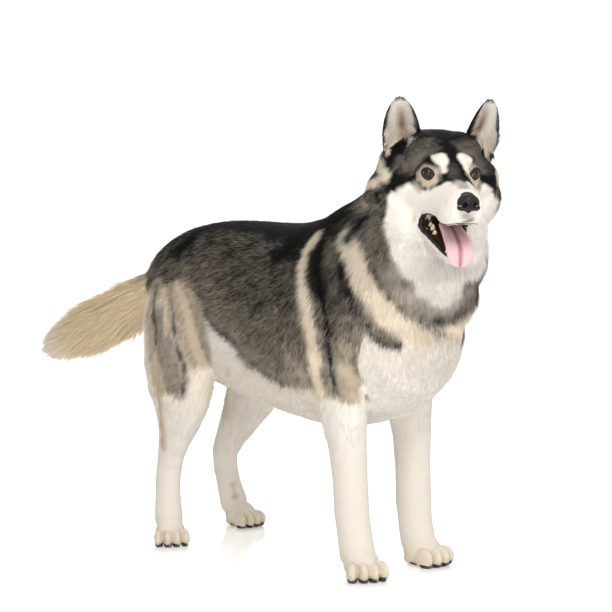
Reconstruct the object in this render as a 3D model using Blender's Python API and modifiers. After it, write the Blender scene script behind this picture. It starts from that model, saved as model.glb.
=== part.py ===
"""A standing Siberian husky, life size, as solids for its body parts.

The dog faces +X, its right side is at -Y and the floor is at z = 0. All sizes are in metres and
include the coat. Soft forms are lofts and balls fused into one skin, which is then parted with thin
cuts. The ruff, the cheeks, the breeches and the brush of the tail carry tapered locks of hair.
"""

import math
import random
from collections import namedtuple

import bmesh
import bpy
from mathutils import Matrix, Vector
from mathutils.bvhtree import BVHTree

# Driving dimensions
WITHERS = 0.600  # top of the coat over the shoulder blades
DESIGN_WITHERS = 0.600  # the height that every size below is written for
SIZE = WITHERS / DESIGN_WITHERS
CENTRE = (0.029, -0.004)  # middle of the whole, which is set over the origin
GAP = 0.0003  # parting gap between neighbouring pieces
CLEARANCE = 0.0008  # how far a piece is grown before it cuts its neighbour clear

HEAD_PLACE = Vector((0.539, -0.028, 0.6555))  # midway between the eyes
HEAD_YAW = math.radians(-29)  # turned to the dog's right
HEAD_PITCH = math.radians(7)  # nose down
JAW_DROP = math.radians(27)
JAW_JOINT = Vector((-0.046, 0.0, -0.069))  # in the head's own frame

EYE_RADIUS = 0.0115
EYE_PLACE = Vector((0.0045, 0.0358, 0.0))  # left eye, in the head's own frame
EAR_PLACES = {  # middle of each ear's foot, in the head's own frame
    "right": Vector((-0.062, -0.0620, 0.044)),
    "left": Vector((-0.062, 0.0690, 0.041)),
}
EAR_HEIGHT = 0.070
EAR_HALF_WIDTH = 0.0285
EAR_WALL = 0.0040

Ring = namedtuple("Ring", "centre side top half_side half_top egg")
Shape = namedtuple("Shape", "length width thick lift sink")

# Locks of each coat: length, width, thickness, lift in radians and depth of the root
RUFF_LOCK = Shape(0.094, 0.064, 0.016, 0.36, 0.010)
CHEEK_LOCK = Shape(0.056, 0.036, 0.012, 0.26, 0.009)
BREECH_LOCK = Shape(0.075, 0.042, 0.014, 0.36, 0.012)
TAIL_LOCK = Shape(0.092, 0.044, 0.016, 0.46, 0.012)

# Rows of the trunk: x, top of coat, bottom of coat, half width, egg (how much wider below than above)
TRUNK = (
    (-0.214, 0.500, 0.440, 0.026, 0.0),
    (-0.203, 0.510, 0.405, 0.048, 0.0),
    (-0.172, 0.531, 0.350, 0.078, 0.0),
    (-0.118, 0.555, 0.305, 0.102, 0.0),
    (-0.055, 0.569, 0.284, 0.115, 0.05),
    (0.020, 0.573, 0.268, 0.124, 0.08),
    (0.110, 0.568, 0.250, 0.132, 0.10),
    (0.190, 0.568, 0.236, 0.139, 0.10),
    (0.260, 0.582, 0.228, 0.143, 0.10),
    (0.330, 0.588, 0.232, 0.143, 0.08),
    (0.400, 0.572, 0.254, 0.134, 0.05),
    (0.452, 0.545, 0.290, 0.114, 0.0),
    (0.486, 0.510, 0.335, 0.080, 0.0),
    (0.504, 0.470, 0.380, 0.040, 0.0),
)

# Rows of the neck: x, y, z of its middle, half width, half depth from nape to throat
NECK = (
    (0.304, 0.000, 0.438, 0.116, 0.136),
    (0.360, 0.000, 0.492, 0.124, 0.128),
    (0.404, 0.002, 0.540, 0.114, 0.110),
    (0.430, 0.004, 0.590, 0.094, 0.084),
    (0.440, 0.006, 0.636, 0.074, 0.062),
    (0.446, 0.008, 0.668, 0.048, 0.040),
)

# The full ruff under the jaw, pushed to the left by the turned head: middle and radii
BIB = (Vector((0.445, 0.035, 0.532)), (0.075, 0.103, 0.084))

# Rows of a limb: x, y, z of its middle, half width, half length. They run down the leg.
FRONT_RIGHT = (
    (0.350, -0.086, 0.400, 0.050, 0.082),
    (0.356, -0.098, 0.330, 0.043, 0.064),
    (0.370, -0.101, 0.280, 0.035, 0.046),
    (0.380, -0.099, 0.220, 0.030, 0.034),
    (0.384, -0.096, 0.160, 0.028, 0.030),
    (0.386, -0.094, 0.105, 0.028, 0.030),
    (0.390, -0.092, 0.070, 0.028, 0.030),
    (0.396, -0.091, 0.040, 0.030, 0.031),
)
FRONT_LEFT = (
    (0.306, 0.086, 0.400, 0.052, 0.082),
    (0.312, 0.094, 0.330, 0.044, 0.066),
    (0.325, 0.093, 0.280, 0.036, 0.048),
    (0.340, 0.088, 0.220, 0.031, 0.035),
    (0.348, 0.083, 0.160, 0.029, 0.031),
    (0.354, 0.079, 0.105, 0.030, 0.031),
    (0.360, 0.077, 0.070, 0.029, 0.030),
    (0.368, 0.076, 0.040, 0.030, 0.031),
)
HIND_RIGHT = (
    (-0.070, -0.072, 0.470, 0.050, 0.095),
    (-0.058, -0.090, 0.400, 0.056, 0.104),
    (-0.045, -0.104, 0.330, 0.049, 0.092),
    (-0.037, -0.110, 0.279, 0.041, 0.075),
    (-0.037, -0.112, 0.250, 0.036, 0.063),
    (-0.043, -0.112, 0.222, 0.030, 0.050),
    (-0.051, -0.112, 0.194, 0.024, 0.037),
    (-0.061, -0.112, 0.166, 0.021, 0.029),
    (-0.069, -0.111, 0.137, 0.020, 0.026),
    (-0.073, -0.111, 0.109, 0.020, 0.026),
    (-0.073, -0.111, 0.080, 0.022, 0.026),
    (-0.070, -0.112, 0.045, 0.026, 0.028),
)
HIND_LEFT = (
    (-0.085, 0.072, 0.470, 0.050, 0.095),
    (-0.082, 0.090, 0.400, 0.056, 0.102),
    (-0.086, 0.104, 0.330, 0.049, 0.090),
    (-0.094, 0.110, 0.279, 0.041, 0.072),
    (-0.108, 0.111, 0.245, 0.035, 0.058),
    (-0.132, 0.111, 0.210, 0.028, 0.045),
    (-0.160, 0.111, 0.172, 0.023, 0.034),
    (-0.180, 0.110, 0.136, 0.021, 0.028),
    (-0.178, 0.110, 0.104, 0.021, 0.026),
    (-0.168, 0.110, 0.074, 0.022, 0.026),
    (-0.154, 0.110, 0.042, 0.026, 0.028),
)

# Rows of the tail's core: x, y, z of its middle, half width, half depth
TAIL = (
    (-0.150, 0.000, 0.492, 0.030, 0.030),
    (-0.200, 0.000, 0.470, 0.032, 0.034),
    (-0.255, 0.000, 0.440, 0.034, 0.038),
    (-0.320, 0.000, 0.410, 0.036, 0.040),
    (-0.385, 0.000, 0.386, 0.036, 0.040),
    (-0.447, 0.000, 0.365, 0.035, 0.038),
    (-0.505, 0.000, 0.345, 0.031, 0.033),
    (-0.550, 0.000, 0.328, 0.023, 0.024),
    (-0.578, 0.000, 0.317, 0.012, 0.012),
)

# Rows of the upper head in its own frame: x, top, bottom, half width, egg
SKULL = (
    (-0.150, 0.034, -0.070, 0.060, 0.0),
    (-0.128, 0.053, -0.092, 0.086, 0.0),
    (-0.095, 0.063, -0.098, 0.095, 0.0),
    (-0.060, 0.062, -0.090, 0.088, 0.05),
    (-0.030, 0.052, -0.078, 0.071, 0.10),
    (-0.006, 0.034, -0.072, 0.056, 0.12),
    (0.012, 0.015, -0.071, 0.045, 0.15),
    (0.030, 0.003, -0.072, 0.039, 0.20),
    (0.050, -0.004, -0.074, 0.036, 0.22),
    (0.072, -0.009, -0.075, 0.034, 0.20),
    (0.090, -0.014, -0.072, 0.031, 0.12),
    (0.101, -0.019, -0.066, 0.025, 0.05),
    (0.107, -0.026, -0.056, 0.015, 0.0),
)

# Rows of the lower jaw in the jaw's own frame: x from its joint, top, bottom, half width
JAW = (
    (-0.010, 0.004, -0.034, 0.040),
    (0.020, 0.004, -0.038, 0.042),
    (0.050, 0.003, -0.034, 0.034),
    (0.080, 0.002, -0.027, 0.026),
    (0.100, 0.003, -0.023, 0.022),
    (0.114, 0.003, -0.018, 0.017),
    (0.122, -0.001, -0.013, 0.009),
)

# Rows of the tongue in the head's own frame: x, y, z, half width, half thickness
TONGUE = (
    (0.000, 0.000, -0.080, 0.015, 0.0055),
    (0.030, 0.000, -0.088, 0.019, 0.0055),
    (0.055, -0.001, -0.0965, 0.0215, 0.0050),
    (0.075, -0.003, -0.105, 0.0225, 0.0045),
    (0.087, -0.004, -0.114, 0.0220, 0.0040),
    (0.091, -0.005, -0.123, 0.0205, 0.0038),
    (0.091, -0.005, -0.130, 0.0160, 0.0033),
    (0.090, -0.005, -0.1345, 0.0090, 0.0025),
)

PAWS = {
    # place on the floor, direction of the toes, scale of the paw
    "front_right": (Vector((0.408, -0.092, 0.0)), math.radians(-24), 1.00),
    "front_left": (Vector((0.382, 0.076, 0.0)), math.radians(6), 1.00),
    "hind_right": (Vector((-0.060, -0.116, 0.0)), math.radians(-32), 0.90),
    "hind_left": (Vector((-0.132, 0.110, 0.0)), math.radians(4), 0.90),
}
THIGH_DOMES = {
    # middle and radii of the cut round a thigh
    "right": ((-0.055, -0.150, 0.350), (0.125, 0.100, 0.125)),
    "left": ((-0.085, 0.150, 0.350), (0.125, 0.100, 0.125)),
}
TOE_PITCH = 0.0175  # sideways distance between neighbouring toes
TOES = (-1.5, -0.5, 0.5, 1.5)
CLAW_LENGTH = 0.013

Coat = namedtuple("Coat", "colour roughness")
COATS = {
    "coat_grey": Coat((0.23, 0.21, 0.19, 1.0), 0.85),
    "coat_white": Coat((0.80, 0.74, 0.64, 1.0), 0.85),
    "coat_cream": Coat((0.72, 0.58, 0.38, 1.0), 0.85),
    "coat_black": Coat((0.05, 0.045, 0.045, 1.0), 0.80),
    "eye": Coat((0.06, 0.025, 0.012, 1.0), 0.10),
    "nose": Coat((0.03, 0.028, 0.03, 1.0), 0.45),
    "tongue": Coat((0.78, 0.36, 0.42, 1.0), 0.35),
    "claw": Coat((0.05, 0.04, 0.035, 1.0), 0.40),
}


# Scene and small mesh helpers


def clear_scene():
    for obj in list(bpy.data.objects):
        bpy.data.objects.remove(obj)


def new_collection(name):
    made = bpy.data.collections.new(name)
    bpy.context.scene.collection.children.link(made)
    return made


def make_material(name):
    coat = COATS[name]
    made = bpy.data.materials.get(name) or bpy.data.materials.new(name)
    made.use_nodes = True
    shader = made.node_tree.nodes["Principled BSDF"]
    shader.inputs["Base Color"].default_value = coat.colour
    shader.inputs["Roughness"].default_value = coat.roughness
    shader.inputs["Metallic"].default_value = 0.0
    return made


def mesh_object(name, bm, collection):
    """Closes the bmesh's normals outwards and links it as an object."""
    bmesh.ops.recalc_face_normals(bm, faces=bm.faces)
    mesh = bpy.data.meshes.new(name)
    bm.to_mesh(mesh)
    bm.free()
    obj = bpy.data.objects.new(name, mesh)
    collection.objects.link(obj)
    return obj


def remove(objects):
    for obj in list(objects):
        bpy.data.objects.remove(obj)


def bake(obj):
    """Replaces the object's mesh by what its modifiers make of it."""
    graph = bpy.context.evaluated_depsgraph_get()
    graph.update()
    mesh = bpy.data.meshes.new_from_object(obj.evaluated_get(graph))
    obj.modifiers.clear()
    obj.data = mesh
    return obj


def duplicate(obj, name):
    twin = obj.copy()
    twin.data = obj.data.copy()
    twin.name = name
    for collection in obj.users_collection:
        collection.objects.link(twin)
    return twin


# Soft forms


def tangents(centres):
    last = len(centres) - 1
    return [
        (centres[min(i + 1, last)] - centres[max(i - 1, 0)]).normalized()
        for i in range(last + 1)
    ]


def trunk_rings(rows):
    """Upright rings along X, from rows of x, top, bottom, half width and egg."""
    rings = []
    for x, top, bottom, half_width, *egg in rows:
        centre = Vector((x, 0.0, (top + bottom) / 2))
        rings.append(
            Ring(centre, Vector((0, 1, 0)), Vector((0, 0, 1)), half_width, (top - bottom) / 2, sum(egg))
        )
    return rings


def limb_rings(rows, sideways=Vector((0, 1, 0))):
    """Rings square to the limb's own line, from rows of x, y, z, half width and half depth."""
    centres = [Vector(row[:3]) for row in rows]
    rings = []
    for centre, along, row in zip(centres, tangents(centres), rows):
        side = (sideways - along * sideways.dot(along)).normalized()
        rings.append(Ring(centre, side, along.cross(side), row[3], row[4], 0.0))
    return rings


def ring_point(ring, angle, square=2.3):
    """A point of a rounded-square ring. The egg makes it wider towards its own bottom."""
    power = 2 / square
    across = math.copysign(abs(math.cos(angle)) ** power, math.cos(angle))
    upward = math.copysign(abs(math.sin(angle)) ** power, math.sin(angle))
    width = ring.half_side * (1 - ring.egg * upward)
    return ring.centre + ring.side * across * width + ring.top * upward * ring.half_top


def loft(name, rings, collection, sides=28, square=2.3):
    """A closed skin through unlike rings."""
    bm = bmesh.new()
    loops = [
        [bm.verts.new(ring_point(ring, 2 * math.pi * i / sides, square)) for i in range(sides)]
        for ring in rings
    ]
    for first, second in zip(loops, loops[1:]):
        for i in range(sides):
            j = (i + 1) % sides
            bm.faces.new((first[i], first[j], second[j], second[i]))
    bm.faces.new(loops[0])
    bm.faces.new(loops[-1])
    return mesh_object(name, bm, collection)


def ball(name, centre, radii, collection, turn=Matrix(), segments=24):
    """An ellipsoid turned about its own centre."""
    bm = bmesh.new()
    place = Matrix.Translation(centre) @ turn @ Matrix.Diagonal((*radii, 1.0))
    bmesh.ops.create_uvsphere(
        bm, u_segments=segments, v_segments=segments * 2 // 3, radius=1.0, matrix=place
    )
    return mesh_object(name, bm, collection)


def box(name, low, high, collection):
    bm = bmesh.new()
    low, high = Vector(low), Vector(high)
    place = Matrix.Translation((low + high) / 2) @ Matrix.Diagonal((*(high - low), 1.0))
    bmesh.ops.create_cube(bm, size=1.0, matrix=place)
    return mesh_object(name, bm, collection)


def fuse(name, pieces, collection, voxel, smoothing, triangles):
    """One closed skin over overlapping pieces, smoothed where they meet and thinned to a count."""
    bm = bmesh.new()
    for piece in pieces:
        piece.data.transform(piece.matrix_world)
        bm.from_mesh(piece.data)
    remove(pieces)
    skin = mesh_object(name, bm, collection)
    remesh = skin.modifiers.new("Remesh", "REMESH")
    remesh.mode = "VOXEL"
    remesh.voxel_size = voxel
    smooth = skin.modifiers.new("Smooth", "SMOOTH")
    smooth.factor = 0.5
    smooth.iterations = smoothing
    bake(skin)
    thin(skin, triangles)
    return skin


def thin(obj, triangles):
    count = sum(len(face.vertices) - 2 for face in obj.data.polygons)
    if count > triangles:
        decimate = obj.modifiers.new("Decimate", "DECIMATE")
        decimate.ratio = triangles / count
        bake(obj)
    return obj


# Cutting and joining


def boolean(obj, operation, other, solver="MANIFOLD"):
    """Applies one Boolean with an object or with a whole collection."""
    modifier = obj.modifiers.new("Boolean", "BOOLEAN")
    modifier.operation = operation
    modifier.solver = solver
    if isinstance(other, bpy.types.Collection):
        modifier.operand_type = "COLLECTION"
        modifier.collection = other
    else:
        modifier.object = other
    return bake(obj)


def keep_largest(obj):
    """Keeps the closed surface of largest volume, and so drops scraps and sealed hollows."""
    bm = bmesh.new()
    bm.from_mesh(obj.data)
    bmesh.ops.triangulate(bm, faces=bm.faces)
    unseen = set(bm.faces)
    islands = []
    while unseen:
        stack = [unseen.pop()]
        island = []
        while stack:
            face = stack.pop()
            island.append(face)
            for edge in face.edges:
                for other in edge.link_faces:
                    if other in unseen:
                        unseen.remove(other)
                        stack.append(other)
        islands.append(island)

    def volume(island):
        corners = ([vert.co for vert in face.verts] for face in island)
        return sum(a.dot(b.cross(c)) for a, b, c in corners) / 6

    largest = max(islands, key=volume)
    scraps = [face for island in islands if island is not largest for face in island]
    bmesh.ops.delete(bm, geom=scraps, context="FACES")
    bm.to_mesh(obj.data)
    bm.free()
    return obj


def grown(obj, amount=CLEARANCE):
    """A copy of the piece, swollen along its normals, for cutting a neighbour clear of it."""
    twin = duplicate(obj, obj.name + "_grown")
    swell = twin.modifiers.new("Swell", "DISPLACE")
    swell.strength = amount
    swell.mid_level = 0.0
    return bake(twin)


def trim(obj, neighbours):
    """Cuts the piece clear of its neighbours. A swollen copy can fold at a sharp corner, so each
    neighbour itself is cut away as well."""
    for neighbour in neighbours:
        cutter = grown(neighbour)
        boolean(obj, "DIFFERENCE", cutter)
        remove([cutter])
        boolean(obj, "DIFFERENCE", neighbour)


def clear_of(obj, *neighbours):
    trim(obj, neighbours)
    return keep_largest(obj)


def split_off(whole, name, make_envelope):
    """Takes the part of the whole inside a convex envelope, and leaves a thin gap round it."""
    inner = make_envelope(0.0)
    outer = make_envelope(GAP)
    piece = duplicate(whole, name)
    boolean(piece, "INTERSECT", inner)
    boolean(whole, "DIFFERENCE", outer)
    remove([inner, outer])
    keep_largest(piece)
    return piece


def below(level, middle, half, cutters):
    """Envelope maker for all that lies under a level, near a place."""

    def make(grow):
        low = (middle[0] - half, middle[1] - half, -half)
        high = (middle[0] + half, middle[1] + half, level + grow)
        return box("cut_below", low, high, cutters)

    return make


def dome(middle, radii, drop, cutters):
    """Envelope maker for a limb: an ellipsoid whose lower half is drawn down past the floor."""

    def make(grow):
        bm = bmesh.new()
        grown_radii = [radius + grow for radius in radii]
        bmesh.ops.create_uvsphere(
            bm, u_segments=16, v_segments=8, radius=1.0, matrix=Matrix.Diagonal((*grown_radii, 1.0))
        )
        for vert in bm.verts:
            if vert.co.z < -1e-6:
                vert.co.z -= drop
        bmesh.ops.translate(bm, vec=Vector(middle), verts=bm.verts)
        return mesh_object("cut_dome", bm, cutters)

    return make


# Head frame


def head_frame():
    turn = Matrix.Rotation(HEAD_YAW, 4, "Z") @ Matrix.Rotation(HEAD_PITCH, 4, "Y")
    return Matrix.Translation(HEAD_PLACE) @ turn


def jaw_frame():
    return Matrix.Translation(JAW_JOINT) @ Matrix.Rotation(JAW_DROP, 4, "Y")


# Paws


def paw_frame(name):
    place, toes, scale = PAWS[name]
    return Matrix.Translation(place) @ Matrix.Rotation(toes, 4, "Z") @ Matrix.Scale(scale, 4)


def toe_front(spread):
    """Forward reach of a toe: the middle pair leads."""
    return 0.034 - 0.0055 * (abs(spread) - 0.5)


def paw_pieces(name, collection):
    frame = paw_frame(name)
    pieces = [ball("paw_body", Vector((-0.004, 0, 0.027)), (0.036, 0.0315, 0.030), collection)]
    pieces.append(ball("paw_heel", Vector((-0.020, 0, 0.013)), (0.020, 0.022, 0.017), collection))
    for spread in TOES:
        middle = Vector((toe_front(spread) - 0.008, spread * TOE_PITCH * 0.95, 0.0175))
        turn = Matrix.Rotation(math.radians(7 * spread), 4, "Z")
        pieces.append(ball("toe", middle, (0.0230, 0.0102, 0.0195), collection, turn))
    for piece in pieces:
        piece.data.transform(frame)
    return pieces


def claw(name, paw, spread, collection):
    """A short curved horn cone growing forward and down from a toe."""
    frame = paw_frame(paw)
    start = Vector((toe_front(spread) + 0.004, spread * TOE_PITCH, 0.0150))
    rows = []
    for step, radius in enumerate((0.0042, 0.0037, 0.0026, 0.0009)):
        share = step / 3
        dip = 0.0105 * share * share
        centre = start + Vector((0.004 + CLAW_LENGTH * share, 0, -dip))
        rows.append((*centre, radius, radius * 1.25))
    made = loft(name, limb_rings(rows), collection, sides=5, square=2.0)
    made.data.transform(frame)
    return made


# Locks of hair


def lock(name, root, aim, out, length, width, thick, bend, collection):
    """A flat tapered lock. It leaves the root along aim and bends away from out towards its tip."""
    side = out.cross(aim).normalized()
    stations = ((0.0, 0.75, 1.0), (0.38, 1.0, 1.0), (0.76, 0.62, 0.75))
    bm = bmesh.new()
    loops = []
    centre, heading, travelled = root.copy(), aim.copy(), 0.0
    for share, spread, depth in stations + ((1.0, 0.0, 0.0),):
        step = (share - travelled) * length
        heading = Matrix.Rotation(bend * (share - travelled), 3, side) @ heading
        centre = centre + heading * step
        travelled = share
        if spread == 0.0:
            tip = bm.verts.new(centre)
            continue
        up = side.cross(heading).normalized()
        half, rise = width * spread / 2, thick * depth / 2
        loops.append(
            [
                bm.verts.new(centre + side * half),
                bm.verts.new(centre - side * half),
                bm.verts.new(centre + up * rise),
            ]
        )
    for first, second in zip(loops, loops[1:]):
        for i in range(3):
            j = (i + 1) % 3
            bm.faces.new((first[i], first[j], second[j], second[i]))
    for i in range(3):
        bm.faces.new((loops[-1][i], loops[-1][(i + 1) % 3], tip))
    bm.faces.new(loops[0])
    return mesh_object(name, bm, collection)


def lay_lock(tree, start, ray, lie, shape, draw, allowed, collection):
    """Roots a lock where a ray leaves the body, and lays it along lie, lifted off the surface."""
    hit, normal, _, _ = tree.ray_cast(start, ray)
    if hit is None or not allowed(hit):
        return
    flat = (lie - normal * lie.dot(normal)).normalized()
    tilt = shape.lift * draw.uniform(0.85, 1.15)
    aim = (flat * math.cos(tilt) + normal * math.sin(tilt)).normalized()
    aim = (Matrix.Rotation(draw.uniform(-0.16, 0.16), 3, normal) @ aim).normalized()
    length = shape.length * draw.uniform(0.88, 1.12)
    width = shape.width * draw.uniform(0.90, 1.10)
    root = hit - normal * shape.sink
    lock("lock", root, aim, normal, length, width, shape.thick, shape.lift * 1.0, collection)


def tree_of(obj):
    graph = bpy.context.evaluated_depsgraph_get()
    graph.update()
    return BVHTree.FromObject(obj, graph)


def join_locks(core, locks, neighbours=()):
    """Fuses the locks, cuts them clear of the neighbours and joins them to their own core."""
    first, *others = list(locks.objects)
    coat = duplicate(first, core.name + "_coat")
    locks.objects.unlink(coat)
    core.users_collection[0].objects.link(coat)
    remove([first])
    if others:
        boolean(coat, "UNION", locks)
    remove(locks.objects)
    bpy.data.collections.remove(locks)
    trim(coat, neighbours)
    boolean(core, "UNION", coat)
    remove([coat])
    return keep_largest(core)


# The head and what it carries


def mirrored(place, side):
    return Vector((place[0], place[1] * side, place[2]))


def head_pieces(collection):
    """Overlapping forms of the upper head, in its own frame."""
    pieces = [
        loft("skull", trunk_rings(SKULL), collection, sides=36),
        ball("throat", Vector((-0.070, 0.0, -0.135)), (0.060, 0.074, 0.060), collection),
    ]
    for side in (1, -1):
        forms = (
            ((-0.084, 0.056, -0.046), (0.058, 0.052, 0.056)),  # cheek
            ((-0.070, 0.046, -0.100), (0.050, 0.046, 0.048)),  # side of the throat
            ((-0.058, 0.030, 0.030), (0.050, 0.038, 0.031)),  # side of the forehead
            ((-0.014, 0.028, 0.019), (0.025, 0.018, 0.012)),  # brow
            ((-0.006, 0.036, 0.000), (0.018, 0.017, 0.018)),  # bed of the eye
            ((0.060, 0.018, -0.052), (0.042, 0.019, 0.023)),  # upper lip
        )
        for place, radii in forms:
            pieces.append(ball("form", mirrored(place, side), radii, collection))
    return pieces


def eye_outline(side, count=14):
    """The almond opening between the lids: a tilted lens round the front of the eyeball."""
    centre = mirrored(EYE_PLACE, side)
    aim = gaze(side)
    across = aim.cross(Vector((0, 0, 1))).normalized() * side
    upward = Vector((0, 0, 1))
    upward = (upward - aim * aim.dot(upward)).normalized()
    points = []
    for i in range(count):
        angle = 2 * math.pi * i / count
        wide = 0.0112 * math.cos(angle)
        high = 0.0068 * math.sin(angle) * (1 - 0.35 * abs(math.cos(angle)) ** 3)
        slant = -wide * 0.22
        lift = math.sqrt(max(EYE_RADIUS**2 - wide**2 - high**2, 0.0)) * 0.93
        points.append(centre + across * wide + upward * (high + slant) + aim * lift)
    return points


def gaze(side):
    """The eye looks forward and a little to its own side."""
    return Vector((0.90, 0.42 * side, 0.06)).normalized()


def tube(name, points, radius, collection, closed=True, sides=8):
    """A thin round rod along points."""
    bm = bmesh.new()
    count = len(points)
    loops = []
    for i, point in enumerate(points):
        before = points[i - 1] if closed or i else point
        after = points[(i + 1) % count] if closed or i + 1 < count else point
        along = (after - before).normalized()
        side = along.orthogonal().normalized()
        if loops:
            side = (last_side - along * along.dot(last_side)).normalized()
        last_side = side
        rise = along.cross(side)
        reach = radius if closed else radius * (0.55 + 0.45 * math.sin(math.pi * i / (count - 1)))
        loops.append(
            [
                bm.verts.new(point + (side * math.cos(turn) + rise * math.sin(turn)) * reach)
                for turn in (2 * math.pi * k / sides for k in range(sides))
            ]
        )
    pairs = list(zip(loops, loops[1:]))
    if closed:
        turned = min(
            range(sides), key=lambda k: (loops[0][k].co - loops[-1][0].co).length
        )
        pairs.append((loops[-1], loops[0][turned:] + loops[0][:turned]))
    else:
        bm.faces.new(loops[0])
        bm.faces.new(loops[-1])
    for first, second in pairs:
        for i in range(sides):
            j = (i + 1) % sides
            bm.faces.new((first[i], first[j], second[j], second[i]))
    return mesh_object(name, bm, collection)


def eye(name, side, collection):
    """An eyeball with a slight bulge of the cornea."""
    bm = bmesh.new()
    bmesh.ops.create_uvsphere(bm, u_segments=14, v_segments=8, radius=EYE_RADIUS)
    aim = gaze(side)
    for vert in bm.verts:
        front = max(vert.co.normalized().dot(aim), 0.0)
        vert.co += aim * 0.0009 * front**8
    bmesh.ops.translate(bm, vec=mirrored(EYE_PLACE, side), verts=bm.verts)
    return mesh_object(name, bm, collection)


def ear_rings(side):
    """C-shaped sections of an upright cup that is open to the front."""
    base = EAR_PLACES["left" if side > 0 else "right"]
    up = Vector((0.30, 0.18 * side, 1.0)).normalized()
    face = Vector((0.94, 0.34 * side, 0.0))
    face = (face - up * up.dot(face)).normalized()
    across = up.cross(face)
    loops = []
    steps = 9
    for level in (-0.50, -0.15, 0.14, 0.40, 0.64, 0.82, 0.94, 1.0):
        share = max(level, 0.0)
        half = EAR_HALF_WIDTH * (1 - share**1.9) ** 0.62 + 0.0030
        depth = 0.022 * (1 - 0.72 * share) + 0.002
        wall = EAR_WALL * (1 - 0.45 * share)
        middle = base + up * EAR_HEIGHT * level - face * 0.006 * share * share
        wrap = math.radians(104 - 30 * share)
        loop = []
        for sign, shrink in ((1, 0.0), (-1, wall)):
            for i in range(steps):
                turn = sign * wrap * (2 * i / (steps - 1) - 1)
                loop.append(
                    middle
                    + across * math.sin(turn) * max(half - shrink, 0.0008)
                    - face * math.cos(turn) * max(depth - shrink, 0.0004)
                )
        loops.append(loop)
    return loops


def ear(name, side, collection):
    bm = bmesh.new()
    loops = [[bm.verts.new(point) for point in loop] for loop in ear_rings(side)]
    for first, second in zip(loops, loops[1:]):
        for i in range(len(first)):
            j = (i + 1) % len(first)
            bm.faces.new((first[i], first[j], second[j], second[i]))
    for loop in (loops[0], loops[-1]):
        for i in range(len(loop) // 2 - 1):
            j = len(loop) - 1 - i
            bm.faces.new((loop[i], loop[i + 1], loop[j - 1], loop[j]))
    return mesh_object(name, bm, collection)


def nose_pad(name, cutters, collection):
    """A rounded leather pad with two comma-shaped nostrils and a groove between them."""
    pieces = [
        ball("pad", Vector((0.1040, 0, -0.0330)), (0.0130, 0.0180, 0.0140), collection),
        ball("pad", Vector((0.0960, 0, -0.0290)), (0.0140, 0.0150, 0.0120), collection),
        ball("pad", Vector((0.1060, 0, -0.0460)), (0.0075, 0.0065, 0.0110), collection),
    ]
    pad = fuse(name, pieces, collection, 0.0012, 3, 170)
    for side in (1, -1):
        hole = ball("hole", mirrored((0.1160, 0.0078, -0.0345), side), (0.0075, 0.0034, 0.0036), cutters, segments=8)
        slit = ball("slit", mirrored((0.1130, 0.0140, -0.0375), side), (0.0080, 0.0048, 0.0014), cutters, segments=8)
        for cutter in (hole, slit):
            boolean(pad, "DIFFERENCE", cutter)
        remove([hole, slit])
    groove = ball("groove", Vector((0.1180, 0, -0.0420)), (0.0035, 0.0009, 0.0130), cutters, segments=8)
    boolean(pad, "DIFFERENCE", groove)
    remove([groove])
    return keep_largest(pad)


def mouth_cutter(name, cutters):
    """The hollow of the open mouth: it lifts the roof between the upper lips."""
    rows = (
        (-0.030, -0.066, -0.110, 0.022),
        (0.000, -0.062, -0.118, 0.026),
        (0.030, -0.060, -0.122, 0.024),
        (0.060, -0.060, -0.126, 0.021),
        (0.085, -0.061, -0.124, 0.015),
        (0.094, -0.064, -0.120, 0.008),
    )
    return loft(name, trunk_rings(rows), cutters, sides=16)


def tooth(root, tip, radius, collection):
    """A blunt cone from the gum to its point."""
    along = tip - root
    rows = [(*(root + along * share), radius * size, radius * size) for share, size in
            ((0.0, 1.0), (0.6, 0.75), (1.0, 0.2))]
    return loft("tooth", limb_rings(rows, sideways=Vector((0.3, 1, 0.1)).normalized()), collection, sides=5)


def lower_teeth(collection):
    """Lower canines, cutting teeth between them and cheek teeth behind, in the jaw's frame."""
    made = []
    for side in (1, -1):
        canine = Vector((0.1060, 0.0135 * side, -0.004))
        made.append(tooth(canine, canine + Vector((0.003, 0.002 * side, 0.019)), 0.0036, collection))
        for place, height in ((0.088, 0.006), (0.068, 0.0085), (0.048, 0.0115)):
            root = Vector((place, (0.0150 + (0.106 - place) * 0.13) * side, -0.004))
            made.append(tooth(root, root + Vector((0, 0, height + 0.004)), 0.0045, collection))
        for step in range(2):
            root = Vector((0.1135 - 0.0012 * step, (0.0022 + 0.0046 * step) * side, -0.004))
            made.append(tooth(root, root + Vector((0.002, 0, 0.0090)), 0.0026, collection))
    return made


def upper_teeth(collection):
    """Upper canines and cutting teeth behind the lips, in the head's frame."""
    made = []
    for side in (1, -1):
        canine = Vector((0.0880, 0.0165 * side, -0.060))
        made.append(tooth(canine, canine + Vector((0.002, 0, -0.0165)), 0.0042, collection))
        for step in range(2):
            root = Vector((0.0960 - 0.0018 * step, (0.0028 + 0.0056 * step) * side, -0.058))
            made.append(tooth(root, root + Vector((0.001, 0, -0.0125)), 0.0032, collection))
    return made


def union_all(core, name, pieces, frame):
    """Fuses repeated pieces to their node in one Boolean with a collection."""
    gathered = new_collection(name)
    for piece in pieces:
        for collection in list(piece.users_collection):
            collection.objects.unlink(piece)
        gathered.objects.link(piece)
        piece.data.transform(frame)
    boolean(core, "UNION", gathered)
    remove(gathered.objects)
    bpy.data.collections.remove(gathered)
    return keep_largest(core)


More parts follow.
